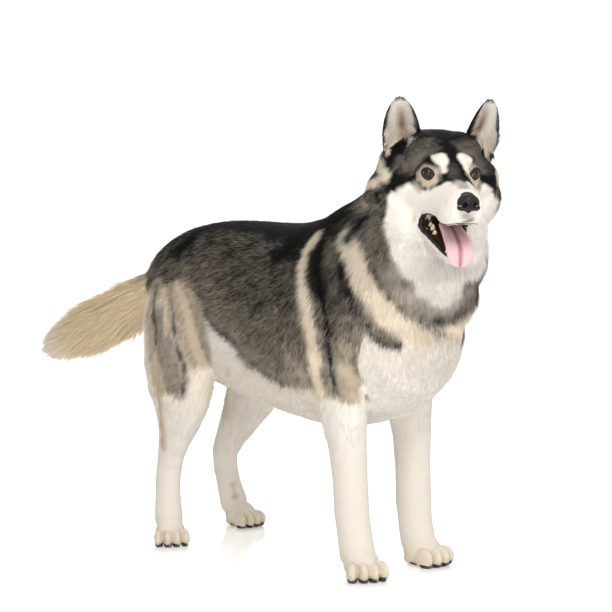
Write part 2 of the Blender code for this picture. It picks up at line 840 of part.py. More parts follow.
def make_head(nodes, cutters, neck, draw):
    """All the nodes of the head, in the dog's frame."""
    frame = head_frame()
    jaw_place = frame @ jaw_frame()
    made = {}
    skull = fuse("head", head_pieces(nodes), nodes, 0.0030, 8, 1500)
    hollow = mouth_cutter("hollow", cutters)
    boolean(skull, "DIFFERENCE", hollow)
    remove([hollow])
    thin(skull, 1250)
    skull.data.transform(frame)
    made["head"] = keep_largest(skull)

    jaw_rows = [(x, top, bottom, half) for x, top, bottom, half in JAW]
    jaw = fuse("lower_jaw", [loft("jaw", trunk_rings(jaw_rows), nodes, sides=28)], nodes, 0.0025, 4, 260)
    jaw.data.transform(jaw_place)
    made["lower_jaw"] = jaw

    tongue = loft("tongue", limb_rings(TONGUE), nodes, sides=14, square=2.6)
    tongue.data.transform(frame)
    made["tongue"] = tongue

    made["nose_pad"] = nose_pad("nose_pad", cutters, nodes)
    made["nose_pad"].data.transform(frame)
    for side, word in ((-1, "right"), (1, "left")):
        made["eye_" + word] = eye("eye_" + word, side, nodes)
        made["ear_" + word] = ear("ear_" + word, side, nodes)
        for kind in ("eye_", "ear_"):
            made[kind + word].data.transform(frame)

    lids = [tube("lid", eye_outline(side), 0.0021, nodes, sides=5) for side in (1, -1)]
    union_all(made["head"], "lids", lids + upper_teeth(nodes), frame)
    union_all(made["lower_jaw"], "lower_teeth", lower_teeth(nodes), jaw_place)
    clear_of(made["head"], *[made[name] for name in ("nose_pad", "eye_right", "eye_left")])
    clear_of(made["ear_right"], neck)
    clear_of(made["ear_left"], neck)
    clear_of(made["head"], made["ear_right"], made["ear_left"], neck)
    clear_of(made["lower_jaw"], neck, made["head"], made["tongue"])
    clear_of(made["head"], made["tongue"])
    cheeks = cheek_locks(made["head"], tree_of(neck), draw)
    join_locks(made["head"], cheeks, [neck, made["lower_jaw"], made["ear_right"], made["ear_left"]])
    return made


# The body and its parting


def body_pieces(collection):
    """Overlapping forms of the trunk, the neck and the four legs."""
    pieces = [
        loft("trunk", trunk_rings(TRUNK), collection, sides=40),
        loft("neck", limb_rings(NECK), collection, sides=36, square=2.1),
        ball("bib", *BIB, collection),
    ]
    for rows in (FRONT_RIGHT, FRONT_LEFT, HIND_RIGHT, HIND_LEFT):
        pieces.append(loft("limb", limb_rings(rows), collection, sides=24, square=2.1))
    for name in PAWS:
        pieces += paw_pieces(name, collection)
    return pieces


def flatten_soles(body):
    """Cuts every paw flat where it meets the floor."""
    cutter = box("floor", (-1, -1, -0.5), (1, 1, 0.0015), body.users_collection[0])
    boolean(body, "DIFFERENCE", cutter)
    remove([cutter])
    body.data.transform(Matrix.Translation((0, 0, -0.0015)))


def part_body(body, cutters):
    made = {}
    cuts = (
        ("front_paw_right", below(0.052, (0.395, -0.092), 0.075, cutters)),
        ("front_paw_left", below(0.052, (0.372, 0.077), 0.075, cutters)),
        ("hind_paw_right", below(0.050, (-0.065, -0.112), 0.085, cutters)),
        ("hind_paw_left", below(0.050, (-0.142, 0.110), 0.085, cutters)),
        ("hind_leg_right", below(0.232, (-0.055, -0.130), 0.130, cutters)),
        ("hind_leg_left", below(0.228, (-0.140, 0.130), 0.130, cutters)),
        ("front_leg_right", dome((0.358, -0.130, 0.310), (0.082, 0.085, 0.085), 0.6, cutters)),
        ("front_leg_left", dome((0.317, 0.125, 0.310), (0.082, 0.085, 0.085), 0.6, cutters)),
        ("thigh_right", dome(*THIGH_DOMES["right"], 0.6, cutters)),
        ("thigh_left", dome(*THIGH_DOMES["left"], 0.6, cutters)),
        ("neck", neck_envelope(cutters)),
    )
    for name, envelope in cuts:
        made[name] = split_off(body, name, envelope)
    body.name = "torso"
    made["torso"] = keep_largest(body)
    return made


def neck_plane():
    """The parting plane of the neck: it slopes down from the withers to the chest."""
    return Matrix.Translation((0.352, 0.0, 0.490)) @ Matrix.Rotation(math.radians(50), 4, "Y")


def neck_envelope(cutters):
    def make(grow):
        slab = box("cut_neck", (-0.5, -0.5, -grow), (0.5, 0.5, 0.6), cutters)
        slab.data.transform(neck_plane())
        return slab

    return make


def make_tail(nodes):
    rings = limb_rings(TAIL)
    return fuse("tail", [loft("tail", rings, nodes, sides=24, square=2.0)], nodes, 0.006, 3, 300)


# Finish


def colour_of(name):
    plain = {
        "torso": "coat_grey",
        "neck": "coat_grey",
        "head": "coat_white",
        "lower_jaw": "coat_white",
        "tongue": "tongue",
        "nose_pad": "nose",
        "tail": "coat_cream",
    }
    if name in plain:
        return plain[name]
    for word, coat in (("eye", "eye"), ("ear", "coat_black"), ("claw", "claw"), ("thigh", "coat_grey")):
        if name.startswith(word):
            return coat
    return "coat_white"


def finish(made, centre):
    """Scales, centres, names and colours every node."""
    place = Matrix.Translation((-centre[0], -centre[1], 0.0)) @ Matrix.Scale(SIZE, 4)
    for name, obj in made.items():
        obj.data.transform(place)
        obj.name = name
        obj.data.name = name
        obj.data.materials.clear()
        obj.data.materials.append(make_material(colour_of(name)))
        for face in obj.data.polygons:
            face.use_smooth = False
            face.material_index = 0


# Coats of locks


def around(ring, count, offset=0.0):
    """Directions from a ring's centre, evenly round it."""
    for i in range(count):
        angle = 2 * math.pi * (i + offset) / count
        yield (ring.side * math.cos(angle) + ring.top * math.sin(angle)).normalized()


def inside(tree, point):
    """Whether a point lies within a closed skin."""
    place, normal, _, _ = tree.find_nearest(point)
    return (point - place).dot(normal) < 0


def ruff_locks(tree, head_tree, draw):
    """Rows of locks round the neck that lie back over the shoulders and the chest."""
    locks = new_collection("ruff_locks")
    plane = neck_plane()
    up = plane.to_3x3() @ Vector((0, 0, 1))

    def allowed(hit):
        on_bib = hit.y > 0.070 and hit.x > 0.410
        return (hit - plane.translation).dot(up) > 0.010 and not on_bib and not inside(head_tree, hit)

    rings = limb_rings(NECK)
    for row, (ring, count) in enumerate(zip(rings[1:5], (11, 12, 10, 8))):
        along = ring.side.cross(ring.top)
        down = -along if along.z > 0 else along
        for ray in around(ring, count, 0.5 * (row % 2)):
            lie = down - ray * 0.15
            shape = RUFF_LOCK if ray.x < 0.2 else RUFF_LOCK._replace(lift=0.20, sink=0.006)
            lay_lock(tree, ring.centre, ray, lie, shape, draw, allowed, locks)
    return locks


def cheek_locks(skin, neck_tree, draw):
    """Two rows of locks on each cheek, swept back and down."""
    locks = new_collection("cheek_locks")
    tree = tree_of(skin)
    frame = head_frame()
    turn = frame.to_3x3()

    def allowed(hit):
        return not inside(neck_tree, hit)

    for side in (1, -1):
        for x, levels in ((-0.060, (-0.018, -0.050, -0.084)), (-0.090, (-0.034, -0.068, -0.100))):
            for z in levels:
                start = frame @ Vector((x, 0.0, z * 0.6 - 0.010))
                aim = turn @ Vector((-0.05, side, (z + 0.020) * 9.0)).normalized()
                lie = turn @ Vector((-0.55, 0.0, -0.85))
                lay_lock(tree, start, aim, lie, CHEEK_LOCK, draw, allowed, locks)
    return locks


def breech_locks(tree, side, middle, radii, draw):
    """Locks down the back of a thigh."""
    locks = new_collection("breech_locks")

    def allowed(hit):
        offset = [(hit[i] - middle[i]) / radii[i] for i in range(3)]
        offset[2] = max(offset[2], 0.0)
        return math.hypot(*offset) < 0.93 and hit.z > 0.245

    for z in (0.440, 0.392, 0.345, 0.298):
        for turn in (-0.50, 0.05, 0.60):
            start = Vector((middle[0] + 0.010, side * 0.095, z))
            ray = Vector((-math.cos(turn), side * math.sin(turn), 0.0))
            lie = Vector((-0.35, 0.05 * side, -1.0))
            lay_lock(tree, start, ray, lie, BREECH_LOCK, draw, allowed, locks)
    return locks


def brush_locks(core, draw):
    """The brush: locks all round the tail that lie towards its tip, and hang a little."""
    locks = new_collection("brush_locks")
    tree = tree_of(core)
    rings = limb_rings(TAIL)
    for row, ring in enumerate(rings[1:7]):
        count = (6, 7, 7, 7, 7, 6)[row]
        shape = TAIL_LOCK._replace(length=TAIL_LOCK.length * (0.9, 1.0, 1.0, 0.95, 0.85, 0.75)[row])
        along = ring.side.cross(ring.top)
        towards_tip = along if along.x < 0 else -along
        for ray in around(ring, count, 0.5 * (row % 2)):
            lie = towards_tip + Vector((0, 0, -0.22))
            lay_lock(tree, ring.centre, ray, lie, shape, draw, lambda hit: hit.x < -0.215, locks)
    return locks


def main():
    draw = random.Random(7)
    clear_scene()
    nodes = new_collection("siberian_husky")
    cutters = new_collection("cutters")
    body = fuse("torso", body_pieces(nodes), nodes, 0.0050, 10, 3500)
    flatten_soles(body)
    body_tree = tree_of(body)
    made = part_body(body, cutters)
    made["tail"] = make_tail(nodes)
    made.update(make_head(nodes, cutters, made["neck"], draw))
    clear_of(made["torso"], made["tail"])
    for paw in PAWS:
        for number, spread in enumerate(TOES, start=1):
            name = f"claw_{paw}_{number}"
            made[name] = claw(name, paw, spread, nodes)
            clear_of(made[paw.replace("_", "_paw_")], made[name])

    head_nodes = [made[name] for name in ("head", "lower_jaw", "ear_right", "ear_left", "tongue")]
    ruff = ruff_locks(body_tree, tree_of(made["head"]), draw)
    shoulders = [made["front_leg_right"], made["front_leg_left"]]
    join_locks(made["neck"], ruff, [made["torso"], *shoulders, *head_nodes])
    brush = brush_locks(made["tail"], draw)
    rump = [made["torso"], made["thigh_right"], made["thigh_left"]]
    join_locks(made["tail"], brush, rump)
    for side, word in ((-1, "right"), (1, "left")):
        dome_place = THIGH_DOMES[word]
        breeches = breech_locks(body_tree, side, *dome_place, draw)
        others = [made["torso"], made["tail"], made["hind_leg_" + word]]
        join_locks(made["thigh_" + word], breeches, others)
    finish(made, CENTRE)
    bpy.data.collections.remove(cutters)


main()
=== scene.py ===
# %% [markdown]
# This file dresses a life-size, still Siberian husky. The solids of its body parts are loaded first
# and stay where they are. A coat could be painted on a smooth body, or grown as particle hair. Here it
# is real mesh: thin tapered tufts on a skin that lies inside the solids, so the coat has depth from
# every side and survives an export. The skin and the tufts carry the same markings.

# %% Load the frame
import math
from collections import namedtuple

import bmesh
import bpy
import numpy as np
from mathutils import Matrix, Vector
from mathutils.bvhtree import BVHTree
from mathutils.kdtree import KDTree


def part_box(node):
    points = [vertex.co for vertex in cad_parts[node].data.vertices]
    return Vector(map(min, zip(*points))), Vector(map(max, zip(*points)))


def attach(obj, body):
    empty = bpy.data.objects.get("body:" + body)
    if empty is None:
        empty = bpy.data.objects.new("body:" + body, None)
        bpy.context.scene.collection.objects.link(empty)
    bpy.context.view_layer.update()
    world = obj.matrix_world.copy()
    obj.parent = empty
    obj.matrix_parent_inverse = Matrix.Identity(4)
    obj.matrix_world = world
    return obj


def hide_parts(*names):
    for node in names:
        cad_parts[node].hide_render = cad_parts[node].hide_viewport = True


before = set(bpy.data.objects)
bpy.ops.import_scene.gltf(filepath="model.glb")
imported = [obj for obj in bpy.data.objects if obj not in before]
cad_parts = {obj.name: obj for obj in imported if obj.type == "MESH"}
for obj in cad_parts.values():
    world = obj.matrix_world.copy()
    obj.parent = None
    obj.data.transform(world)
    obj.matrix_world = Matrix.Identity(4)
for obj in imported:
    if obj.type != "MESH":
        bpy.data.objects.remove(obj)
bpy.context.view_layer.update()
SCENE = bpy.context.scene

# %% [markdown]
# Every size below is written in the plan of the solids: the dog faces +X and its right side is at -Y.
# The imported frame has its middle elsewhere, so finished pieces are moved by one fixed amount. The eye
# of the frame tells whether that amount still holds.

# %% The plan and the head's own frame
PLAN_TO_FRAME = Vector((-0.029, 0.004, 0.0))
HEAD_PLACE = Vector((0.539, -0.028, 0.6555))
HEAD_YAW = math.radians(-29)
HEAD_PITCH = math.radians(7)
JAW_DROP = math.radians(27)
JAW_JOINT = Vector((-0.046, 0.0, -0.069))
EYE_RADIUS = 0.0115
EYE_PLACE = Vector((0.0045, 0.0358, 0.0))
HEAD_TURN = Matrix.Rotation(HEAD_YAW, 4, "Z") @ Matrix.Rotation(HEAD_PITCH, 4, "Y")
HEAD = Matrix.Translation(HEAD_PLACE) @ HEAD_TURN
HEAD_BACK = HEAD.inverted()
JAW = HEAD @ Matrix.Translation(JAW_JOINT) @ Matrix.Rotation(JAW_DROP, 4, "Y")


def to_side(place, side):
    """The same place on the left (1) or the right (-1) of the middle plane."""
    return Vector((place[0], place[1] * side, place[2]))


eye_low, eye_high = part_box("eye_right")
eye_middle = (Vector(eye_low) + Vector(eye_high)) / 2
print("eye is off the plan by", (eye_middle - PLAN_TO_FRAME - HEAD @ to_side(EYE_PLACE, -1)).length)

# %% [markdown]
# A camera comes before the looks, because the markings are placed by what it sees. The photograph was
# taken from low in front of the dog's right side, with a long lens, so the legs hardly converge.

# %% Camera
CAMERA_PLACE = Vector((2.878, -2.438, 0.645)) + PLAN_TO_FRAME
CAMERA_PITCH = math.radians(-3.395)
CAMERA_AZIMUTH = math.radians(48)
FOCAL_PIXELS = 2124.0
PICTURE = 612

camera_data = bpy.data.cameras.new("camera")
camera_data.sensor_width = 36.0
camera_data.lens = FOCAL_PIXELS / PICTURE * camera_data.sensor_width
camera_data.clip_end = 60.0
camera = bpy.data.objects.new("camera", camera_data)
SCENE.collection.objects.link(camera)
camera.location = CAMERA_PLACE
camera.rotation_euler = (math.pi / 2 + CAMERA_PITCH, 0.0, CAMERA_AZIMUTH)
SCENE.camera = camera
CAMERA_TURN = camera.rotation_euler.to_matrix()
print("lens", round(camera_data.lens, 2), "mm")

# %% [markdown]
# Soft light from large lamps shows fur best, because each tuft shades its neighbours without hard
# shadows. The studio is a pale floor that curves up behind the dog, so no horizon line shows.

# %% Studio


def link_mesh(name, bm):
    """Puts a bmesh into the scene as an object at the origin."""
    mesh = bpy.data.meshes.new(name)
    bm.to_mesh(mesh)
    bm.free()
    obj = bpy.data.objects.new(name, mesh)
    SCENE.collection.objects.link(obj)
    return obj


def studio_floor(length=16.0, width=20.0, bend=3.0):
    """A sheet that lies flat under the dog and rises in a quarter circle behind it."""
    bm = bmesh.new()
    bmesh.ops.create_grid(bm, x_segments=40, y_segments=2, size=1.0)
    for vert in bm.verts:
        along = (vert.co.x + 1) / 2 * length - 5.0
        rise = max(along - 4.0, 0.0)
        turn = min(rise / bend, math.pi / 2)
        beyond = max(rise - bend * math.pi / 2, 0.0)
        run = min(along, 4.0) + bend * math.sin(turn)
        vert.co = Vector((run, vert.co.y * width / 2, bend * (1 - math.cos(turn)) + beyond))
    aim = Matrix.Rotation(CAMERA_AZIMUTH + math.pi / 2, 4, "Z")
    bmesh.ops.transform(bm, matrix=aim, verts=bm.verts)
    return link_mesh("studio_floor", bm)


def studio_white():
    """White floor that glows more the higher it rises, so that the backdrop stays white."""
    made = bpy.data.materials.new("studio_white")
    made.use_nodes = True
    nodes = made.node_tree.nodes
    links = made.node_tree.links
    shader = nodes["Principled BSDF"]
    shader.inputs["Base Color"].default_value = (0.9, 0.9, 0.9, 1.0)
    shader.inputs["Roughness"].default_value = 0.05
    shader.inputs["Emission Color"].default_value = (1.0, 1.0, 1.0, 1.0)
    where = nodes.new("ShaderNodeTexCoord")
    height = nodes.new("ShaderNodeSeparateXYZ")
    glow = nodes.new("ShaderNodeMapRange")
    glow.inputs["From Max"].default_value = 0.6
    glow.inputs["To Min"].default_value = 0.22
    glow.inputs["To Max"].default_value = 0.45
    links.new(where.outputs["Object"], height.inputs[0])
    links.new(height.outputs["Z"], glow.inputs["Value"])
    links.new(glow.outputs["Result"], shader.inputs["Emission Strength"])
    return made


floor = studio_floor()
for face in floor.data.polygons:
    face.use_smooth = True
floor.data.materials.append(studio_white())
print("floor faces", len(floor.data.polygons))

# %% Lamps and air


def soft_lamp(name, place, aim, size, power):
    """A round lamp of some size turned towards a place."""
    data = bpy.data.lights.new(name, "AREA")
    data.shape = "DISK"
    data.size = size
    data.energy = power
    lamp = bpy.data.objects.new(name, data)
    SCENE.collection.objects.link(lamp)
    lamp.location = place
    lamp.rotation_euler = (Vector(aim) - Vector(place)).to_track_quat("-Z", "Y").to_euler()


soft_lamp("key_lamp", (2.2, -0.8, 2.8), (0.1, 0.0, 0.4), 1.3, 40.0)
soft_lamp("fill_lamp", (2.6, -2.6, 0.9), (0.1, 0.0, 0.4), 2.2, 40.0)
soft_lamp("low_lamp", (2.6, -0.9, 0.45), (0.4, 0.0, 0.5), 1.2, 9.0)
soft_lamp("rim_lamp", (-2.0, 1.6, 2.4), (0.0, 0.0, 0.4), 1.8, 30.0)
SCENE.view_settings.view_transform = "Standard"
SCENE.world = bpy.data.worlds.new("studio_air")
SCENE.world.use_nodes = True
air = SCENE.world.node_tree.nodes["Background"]
air.inputs["Color"].default_value = (1.0, 1.0, 1.0, 1.0)
air.inputs["Strength"].default_value = 0.8

# %% [markdown]
# A dog's body is a row of sections: the trunk from rump to chest, the neck up to the skull, and each
# leg down to its paw. Circles bridged from one section to the next give a smooth tube for each. The
# sections are those of the solids, made slimmer by the depth of the coat that will grow on them.

# %% Sections of the body
Ring = namedtuple("Ring", "centre side top half_side half_top egg")

TRUNK = (
    # x, top, bottom, half width, egg: how much wider it is below than above
    (-0.214, 0.5, 0.44, 0.026, 0.0),
    (-0.203, 0.51, 0.405, 0.048, 0.0),
    (-0.172, 0.531, 0.35, 0.078, 0.0),
    (-0.118, 0.555, 0.305, 0.102, 0.0),
    (-0.055, 0.569, 0.284, 0.115, 0.05),
    (0.02, 0.573, 0.268, 0.124, 0.08),
    (0.11, 0.568, 0.25, 0.132, 0.1),
    (0.19, 0.568, 0.236, 0.139, 0.1),
    (0.26, 0.582, 0.228, 0.143, 0.1),
    (0.33, 0.588, 0.232, 0.143, 0.08),
    (0.4, 0.572, 0.254, 0.13, 0.05),
    (0.45, 0.545, 0.29, 0.106, 0.0),
    (0.478, 0.51, 0.335, 0.072, 0.0),
    (0.492, 0.47, 0.38, 0.036, 0.0),
)
NECK = (
    # x, y, z of the middle, half width, half depth from nape to throat
    (0.304, 0.0, 0.438, 0.116, 0.136),
    (0.36, 0.0, 0.492, 0.124, 0.128),
    (0.404, 0.002, 0.54, 0.114, 0.11),
    (0.43, 0.004, 0.59, 0.094, 0.084),
    (0.44, 0.006, 0.636, 0.074, 0.062),
    (0.446, 0.008, 0.668, 0.048, 0.04),
)
LEGS = {
    # x, y, z of the middle, half width, half length, down each leg
    "front_right": (
        (0.35, -0.086, 0.4, 0.05, 0.082),
        (0.356, -0.098, 0.33, 0.043, 0.064),
        (0.37, -0.101, 0.28, 0.035, 0.046),
        (0.38, -0.099, 0.22, 0.03, 0.034),
        (0.384, -0.096, 0.16, 0.028, 0.03),
        (0.386, -0.094, 0.105, 0.028, 0.03),
        (0.39, -0.092, 0.07, 0.028, 0.03),
        (0.396, -0.091, 0.04, 0.03, 0.031),
    ),
    "front_left": (
        (0.306, 0.086, 0.4, 0.052, 0.082),
        (0.312, 0.094, 0.33, 0.044, 0.066),
        (0.325, 0.093, 0.28, 0.036, 0.048),
        (0.34, 0.088, 0.22, 0.031, 0.035),
        (0.348, 0.083, 0.16, 0.029, 0.031),
        (0.354, 0.079, 0.105, 0.03, 0.031),
        (0.36, 0.077, 0.07, 0.029, 0.03),
        (0.368, 0.076, 0.04, 0.03, 0.031),
    ),
    "hind_right": (
        (-0.07, -0.072, 0.47, 0.05, 0.095),
        (-0.058, -0.09, 0.4, 0.056, 0.104),
        (-0.045, -0.104, 0.33, 0.049, 0.092),
        (-0.037, -0.11, 0.279, 0.041, 0.075),
        (-0.037, -0.112, 0.25, 0.036, 0.063),
        (-0.043, -0.112, 0.222, 0.03, 0.05),
        (-0.051, -0.112, 0.194, 0.024, 0.037),
        (-0.061, -0.112, 0.166, 0.021, 0.029),
        (-0.069, -0.111, 0.137, 0.02, 0.026),
        (-0.073, -0.111, 0.109, 0.02, 0.026),
        (-0.073, -0.111, 0.08, 0.022, 0.026),
        (-0.07, -0.112, 0.045, 0.026, 0.028),
    ),
    "hind_left": (
        (-0.085, 0.072, 0.47, 0.05, 0.095),
        (-0.082, 0.09, 0.4, 0.056, 0.102),
        (-0.086, 0.104, 0.33, 0.049, 0.09),
        (-0.094, 0.11, 0.279, 0.041, 0.072),
        (-0.108, 0.111, 0.245, 0.035, 0.058),
        (-0.132, 0.111, 0.21, 0.028, 0.045),
        (-0.16, 0.111, 0.172, 0.023, 0.034),
        (-0.18, 0.11, 0.136, 0.021, 0.028),
        (-0.178, 0.11, 0.104, 0.021, 0.026),
        (-0.168, 0.11, 0.074, 0.022, 0.026),
        (-0.154, 0.11, 0.042, 0.026, 0.028),
    ),
}
TAIL = (
    # x, y, z of the middle, half width, half depth
    (-0.15, 0.0, 0.492, 0.03, 0.03),
    (-0.2, 0.0, 0.47, 0.032, 0.034),
    (-0.255, 0.0, 0.44, 0.034, 0.038),
    (-0.32, 0.0, 0.41, 0.036, 0.04),
    (-0.385, 0.0, 0.386, 0.036, 0.04),
    (-0.447, 0.0, 0.365, 0.035, 0.038),
    (-0.505, 0.0, 0.345, 0.031, 0.033),
    (-0.55, 0.0, 0.328, 0.023, 0.024),
    (-0.578, 0.0, 0.317, 0.012, 0.012),
)
BIB = (Vector((0.445, 0.035, 0.532)), (0.075, 0.103, 0.084))  # the ruff under the jaw
BREAST = (Vector((0.44, 0.028, 0.465)), (0.068, 0.098, 0.08))  # and the long hair below it
# How far the skin lies inside those sections. The neck's hair lies so flat that its skin lies outside.
TRUNK_COAT = 0.003
NECK_COAT = -0.002
LEG_COAT = 0.0005
TAIL_COAT = 0.01
RUFF_COAT = 0.003
THIGH_COAT = 0.012
BACK_RISE = 0.004  # the hair along the back stands higher than it does on the flanks
print(len(TRUNK), "trunk sections")

# %% Tubes through sections


def upright_rings(rows, coat=0.0):
    """Upright sections along X, made slimmer by the coat."""
    rings = []
    for x, top, bottom, half_width, *egg in rows:
        centre = Vector((x, 0.0, (top + bottom) / 2))
        half_top = (top - bottom) / 2 - coat
        if coat == TRUNK_COAT:
            centre.z += BACK_RISE
        ring = Ring(centre, Vector((0, 1, 0)), Vector((0, 0, 1)), half_width - coat, half_top, sum(egg))
        rings.append(ring)
    return rings


def leg_inset(height):
    """The leg's top keeps inside the trunk's coat, and below 0.28 m it has only its own short one."""
    share = min(max((height - 0.28) / 0.1, 0.0), 1.0)
    return THIGH_COAT * share


def along_rings(rows, coat=0.0, inset=None):
    """Sections square to the line of their middles."""
    middles = [Vector(row[:3]) for row in rows]
    last = len(middles) - 1
    rings = []
    for step, row in enumerate(rows):
        along = (middles[min(step + 1, last)] - middles[max(step - 1, 0)]).normalized()
        side = Vector((0, 1, 0))
        side = (side - along * along.dot(side)).normalized()
        depth = coat + (inset(row[2]) if inset else 0.0)
        rings.append(Ring(middles[step], side, along.cross(side), row[3] - depth, row[4] - depth, 0.0))
    return rings


def ring_place(ring, angle, square):
    """A point of a rounded-square section. The egg widens it towards its bottom."""
    power = 2 / square
    across = math.copysign(abs(math.cos(angle)) ** power, math.cos(angle))
    upward = math.copysign(abs(math.sin(angle)) ** power, math.sin(angle))
    width = ring.half_side * (1 - ring.egg * upward)
    return ring.centre + ring.side * across * width + ring.top * upward * ring.half_top


def loop_edges(verts):
    """The edges that join these vertices to each other."""
    ring = set(verts)
    return [edge for edge in {e for v in verts for e in v.link_edges} if set(edge.verts) <= ring]


def bridge_tube(bm, rings, sides=28, square=2.3):
    """Circles shaped to the sections and bridged one to the next, with closed ends."""
    loops = []
    for ring in rings:
        verts = bmesh.ops.create_circle(bm, segments=sides, radius=1.0)["verts"]
        for step, vert in enumerate(verts):
            vert.co = ring_place(ring, 2 * math.pi * step / sides, square)
        loops.append(verts)
    for first, second in zip(loops, loops[1:]):
        bmesh.ops.bridge_loops(bm, edges=loop_edges(first) + loop_edges(second))
    for verts in (loops[0], loops[-1]):
        bmesh.ops.contextual_create(bm, geom=loop_edges(verts))
    return [vert for verts in loops for vert in verts]


def add_ball(bm, centre, radii, turn=None, segments=28):
    """A ball stretched to three radii."""
    place = Matrix.Translation(centre) @ (turn or Matrix()) @ Matrix.Diagonal((*radii, 1.0))
    return bmesh.ops.create_uvsphere(
        bm, u_segments=segments, v_segments=segments * 2 // 3, radius=1.0, matrix=place
    )["verts"]


def settle_modifiers(obj):
    """Keeps what the modifiers make and drops them."""
    graph = bpy.context.evaluated_depsgraph_get()
    graph.update()
    mesh = bpy.data.meshes.new_from_object(obj.evaluated_get(graph))
    obj.modifiers.clear()
    obj.data = mesh
    return obj


def fuse_forms(name, bm, grid, smoothing, keep=1.0):
    """One closed skin over overlapping forms, smooth where they meet."""
    bmesh.ops.recalc_face_normals(bm, faces=bm.faces)
    obj = link_mesh(name, bm)
    remesh = obj.modifiers.new("Remesh", "REMESH")
    remesh.mode = "VOXEL"
    remesh.voxel_size = grid
    smooth = obj.modifiers.new("Smooth", "SMOOTH")
    smooth.factor = 0.5
    smooth.iterations = smoothing
    if keep < 1.0:
        thinner = obj.modifiers.new("Decimate", "DECIMATE")
        thinner.ratio = keep
    return settle_modifiers(obj)


def join_or_cut(obj, operation, other):
    """One Boolean with another closed skin, which is then gone."""
    modifier = obj.modifiers.new("Boolean", "BOOLEAN")
    modifier.operation = operation
    modifier.solver = "MANIFOLD"
    modifier.object = other
    settle_modifiers(obj)
    bpy.data.objects.remove(other)
    return obj


# %% The body's skin
BODY_GRID = 0.004
bm = bmesh.new()
bridge_tube(bm, upright_rings(TRUNK, TRUNK_COAT), sides=40)
bridge_tube(bm, along_rings(NECK, NECK_COAT), sides=36, square=2.1)
bridge_tube(bm, along_rings(TAIL, TAIL_COAT), sides=24, square=2.0)
for middle, radii in (BIB, BREAST):
    add_ball(bm, middle, [radius - RUFF_COAT for radius in radii])
for rows in LEGS.values():
    x, y, z, half_width, half_length = rows[-1]
    ankle = (x + 0.008, y, z - 0.02, half_width * 0.72, half_length * 0.72)
    bridge_tube(bm, along_rings(rows + (ankle,), LEG_COAT, leg_inset), sides=24, square=2.1)
skin = fuse_forms("husky_skin", bm, BODY_GRID, 9, keep=0.55)
print("body skin faces", len(skin.data.polygons))

# %% [markdown]
# A paw is a soft body with four toes side by side, the middle two in front, and a heel pad behind. The
# toes are what the eye looks for, so they get a finer grid than the body before all is joined.

# %% Paws
PAWS = {
    # place on the floor, direction of the toes, scale
    "front_right": (Vector((0.408, -0.092, 0.0)), math.radians(-24), 1.0),
    "front_left": (Vector((0.382, 0.076, 0.0)), math.radians(6), 1.0),
    "hind_right": (Vector((-0.06, -0.116, 0.0)), math.radians(-32), 0.9),
    "hind_left": (Vector((-0.132, 0.11, 0.0)), math.radians(4), 0.9),
}
TOE_PITCH = 0.0175
TOES = (-1.5, -0.5, 0.5, 1.5)
SOLE_CUT = 0.0015  # the solids are cut this far above the paws' lowest point and then set down
PAW_COAT = 0.0025
PAW_GRID = 0.002


def paw_frame(name):
    """The place, turn and scale of a paw."""
    place, toes, scale = PAWS[name]
    lowered = place - Vector((0, 0, SOLE_CUT))
    return Matrix.Translation(lowered) @ Matrix.Rotation(toes, 4, "Z") @ Matrix.Scale(scale, 4)


def toe_front(spread):
    """How far forward a toe reaches. The outer two stand further back."""
    return 0.034 - 0.0055 * (abs(spread) - 0.5)


def paw_skin(name):
    bm = bmesh.new()
    coat = PAW_COAT
    add_ball(bm, (-0.004, 0, 0.027), (0.036 - coat, 0.0315 - coat, 0.03 - coat))
    add_ball(bm, (-0.02, 0, 0.013), (0.02 - coat, 0.022 - coat, 0.017 - coat))
    for spread in TOES:
        middle = Vector((toe_front(spread) - 0.008, spread * TOE_PITCH * 0.97, 0.0175))
        turn = Matrix.Rotation(math.radians(7 * spread), 4, "Z")
        add_ball(bm, middle, (0.023 - coat, 0.0098 - coat / 2, 0.0195 - coat), turn)
    bmesh.ops.transform(bm, matrix=paw_frame(name), verts=bm.verts)
    return fuse_forms("paw_skin", bm, PAW_GRID, 3)


for name in PAWS:
    join_or_cut(skin, "UNION", paw_skin(name))
print("skin with paws", len(skin.data.polygons))

# %% [markdown]
# A husky's head is a wedge: a broad skull, full cheeks and a muzzle about as long as the forehead. Its
# forms are balls laid over a tube of sections, fused on a fine grid. The open mouth is cut out of them,
# and the lower jaw is a second tube turned down at its joint.

# %% Head
SKULL = (
    # x in the head's frame, top, bottom, half width, egg
    (-0.15, 0.034, -0.07, 0.06, 0.0),
    (-0.128, 0.053, -0.092, 0.086, 0.0),
    (-0.095, 0.063, -0.098, 0.095, 0.0),
    (-0.06, 0.062, -0.09, 0.088, 0.05),
    (-0.03, 0.052, -0.078, 0.071, 0.1),
    (-0.006, 0.034, -0.072, 0.056, 0.12),
    (0.012, 0.015, -0.071, 0.045, 0.15),
    (0.03, 0.003, -0.072, 0.039, 0.2),
    (0.05, -0.004, -0.074, 0.036, 0.22),
    (0.072, -0.009, -0.075, 0.034, 0.2),
    (0.09, -0.014, -0.072, 0.031, 0.12),
    (0.101, -0.019, -0.066, 0.025, 0.05),
    (0.107, -0.026, -0.056, 0.015, 0.0),
)
JAW_ROWS = (
    # x from the joint, top, bottom, half width
    (-0.01, 0.004, -0.034, 0.04),
    (0.02, 0.004, -0.038, 0.042),
    (0.05, 0.003, -0.034, 0.034),
    (0.08, 0.002, -0.027, 0.026),
    (0.1, 0.003, -0.023, 0.022),
    (0.114, 0.003, -0.018, 0.017),
    (0.122, -0.001, -0.013, 0.009),
)
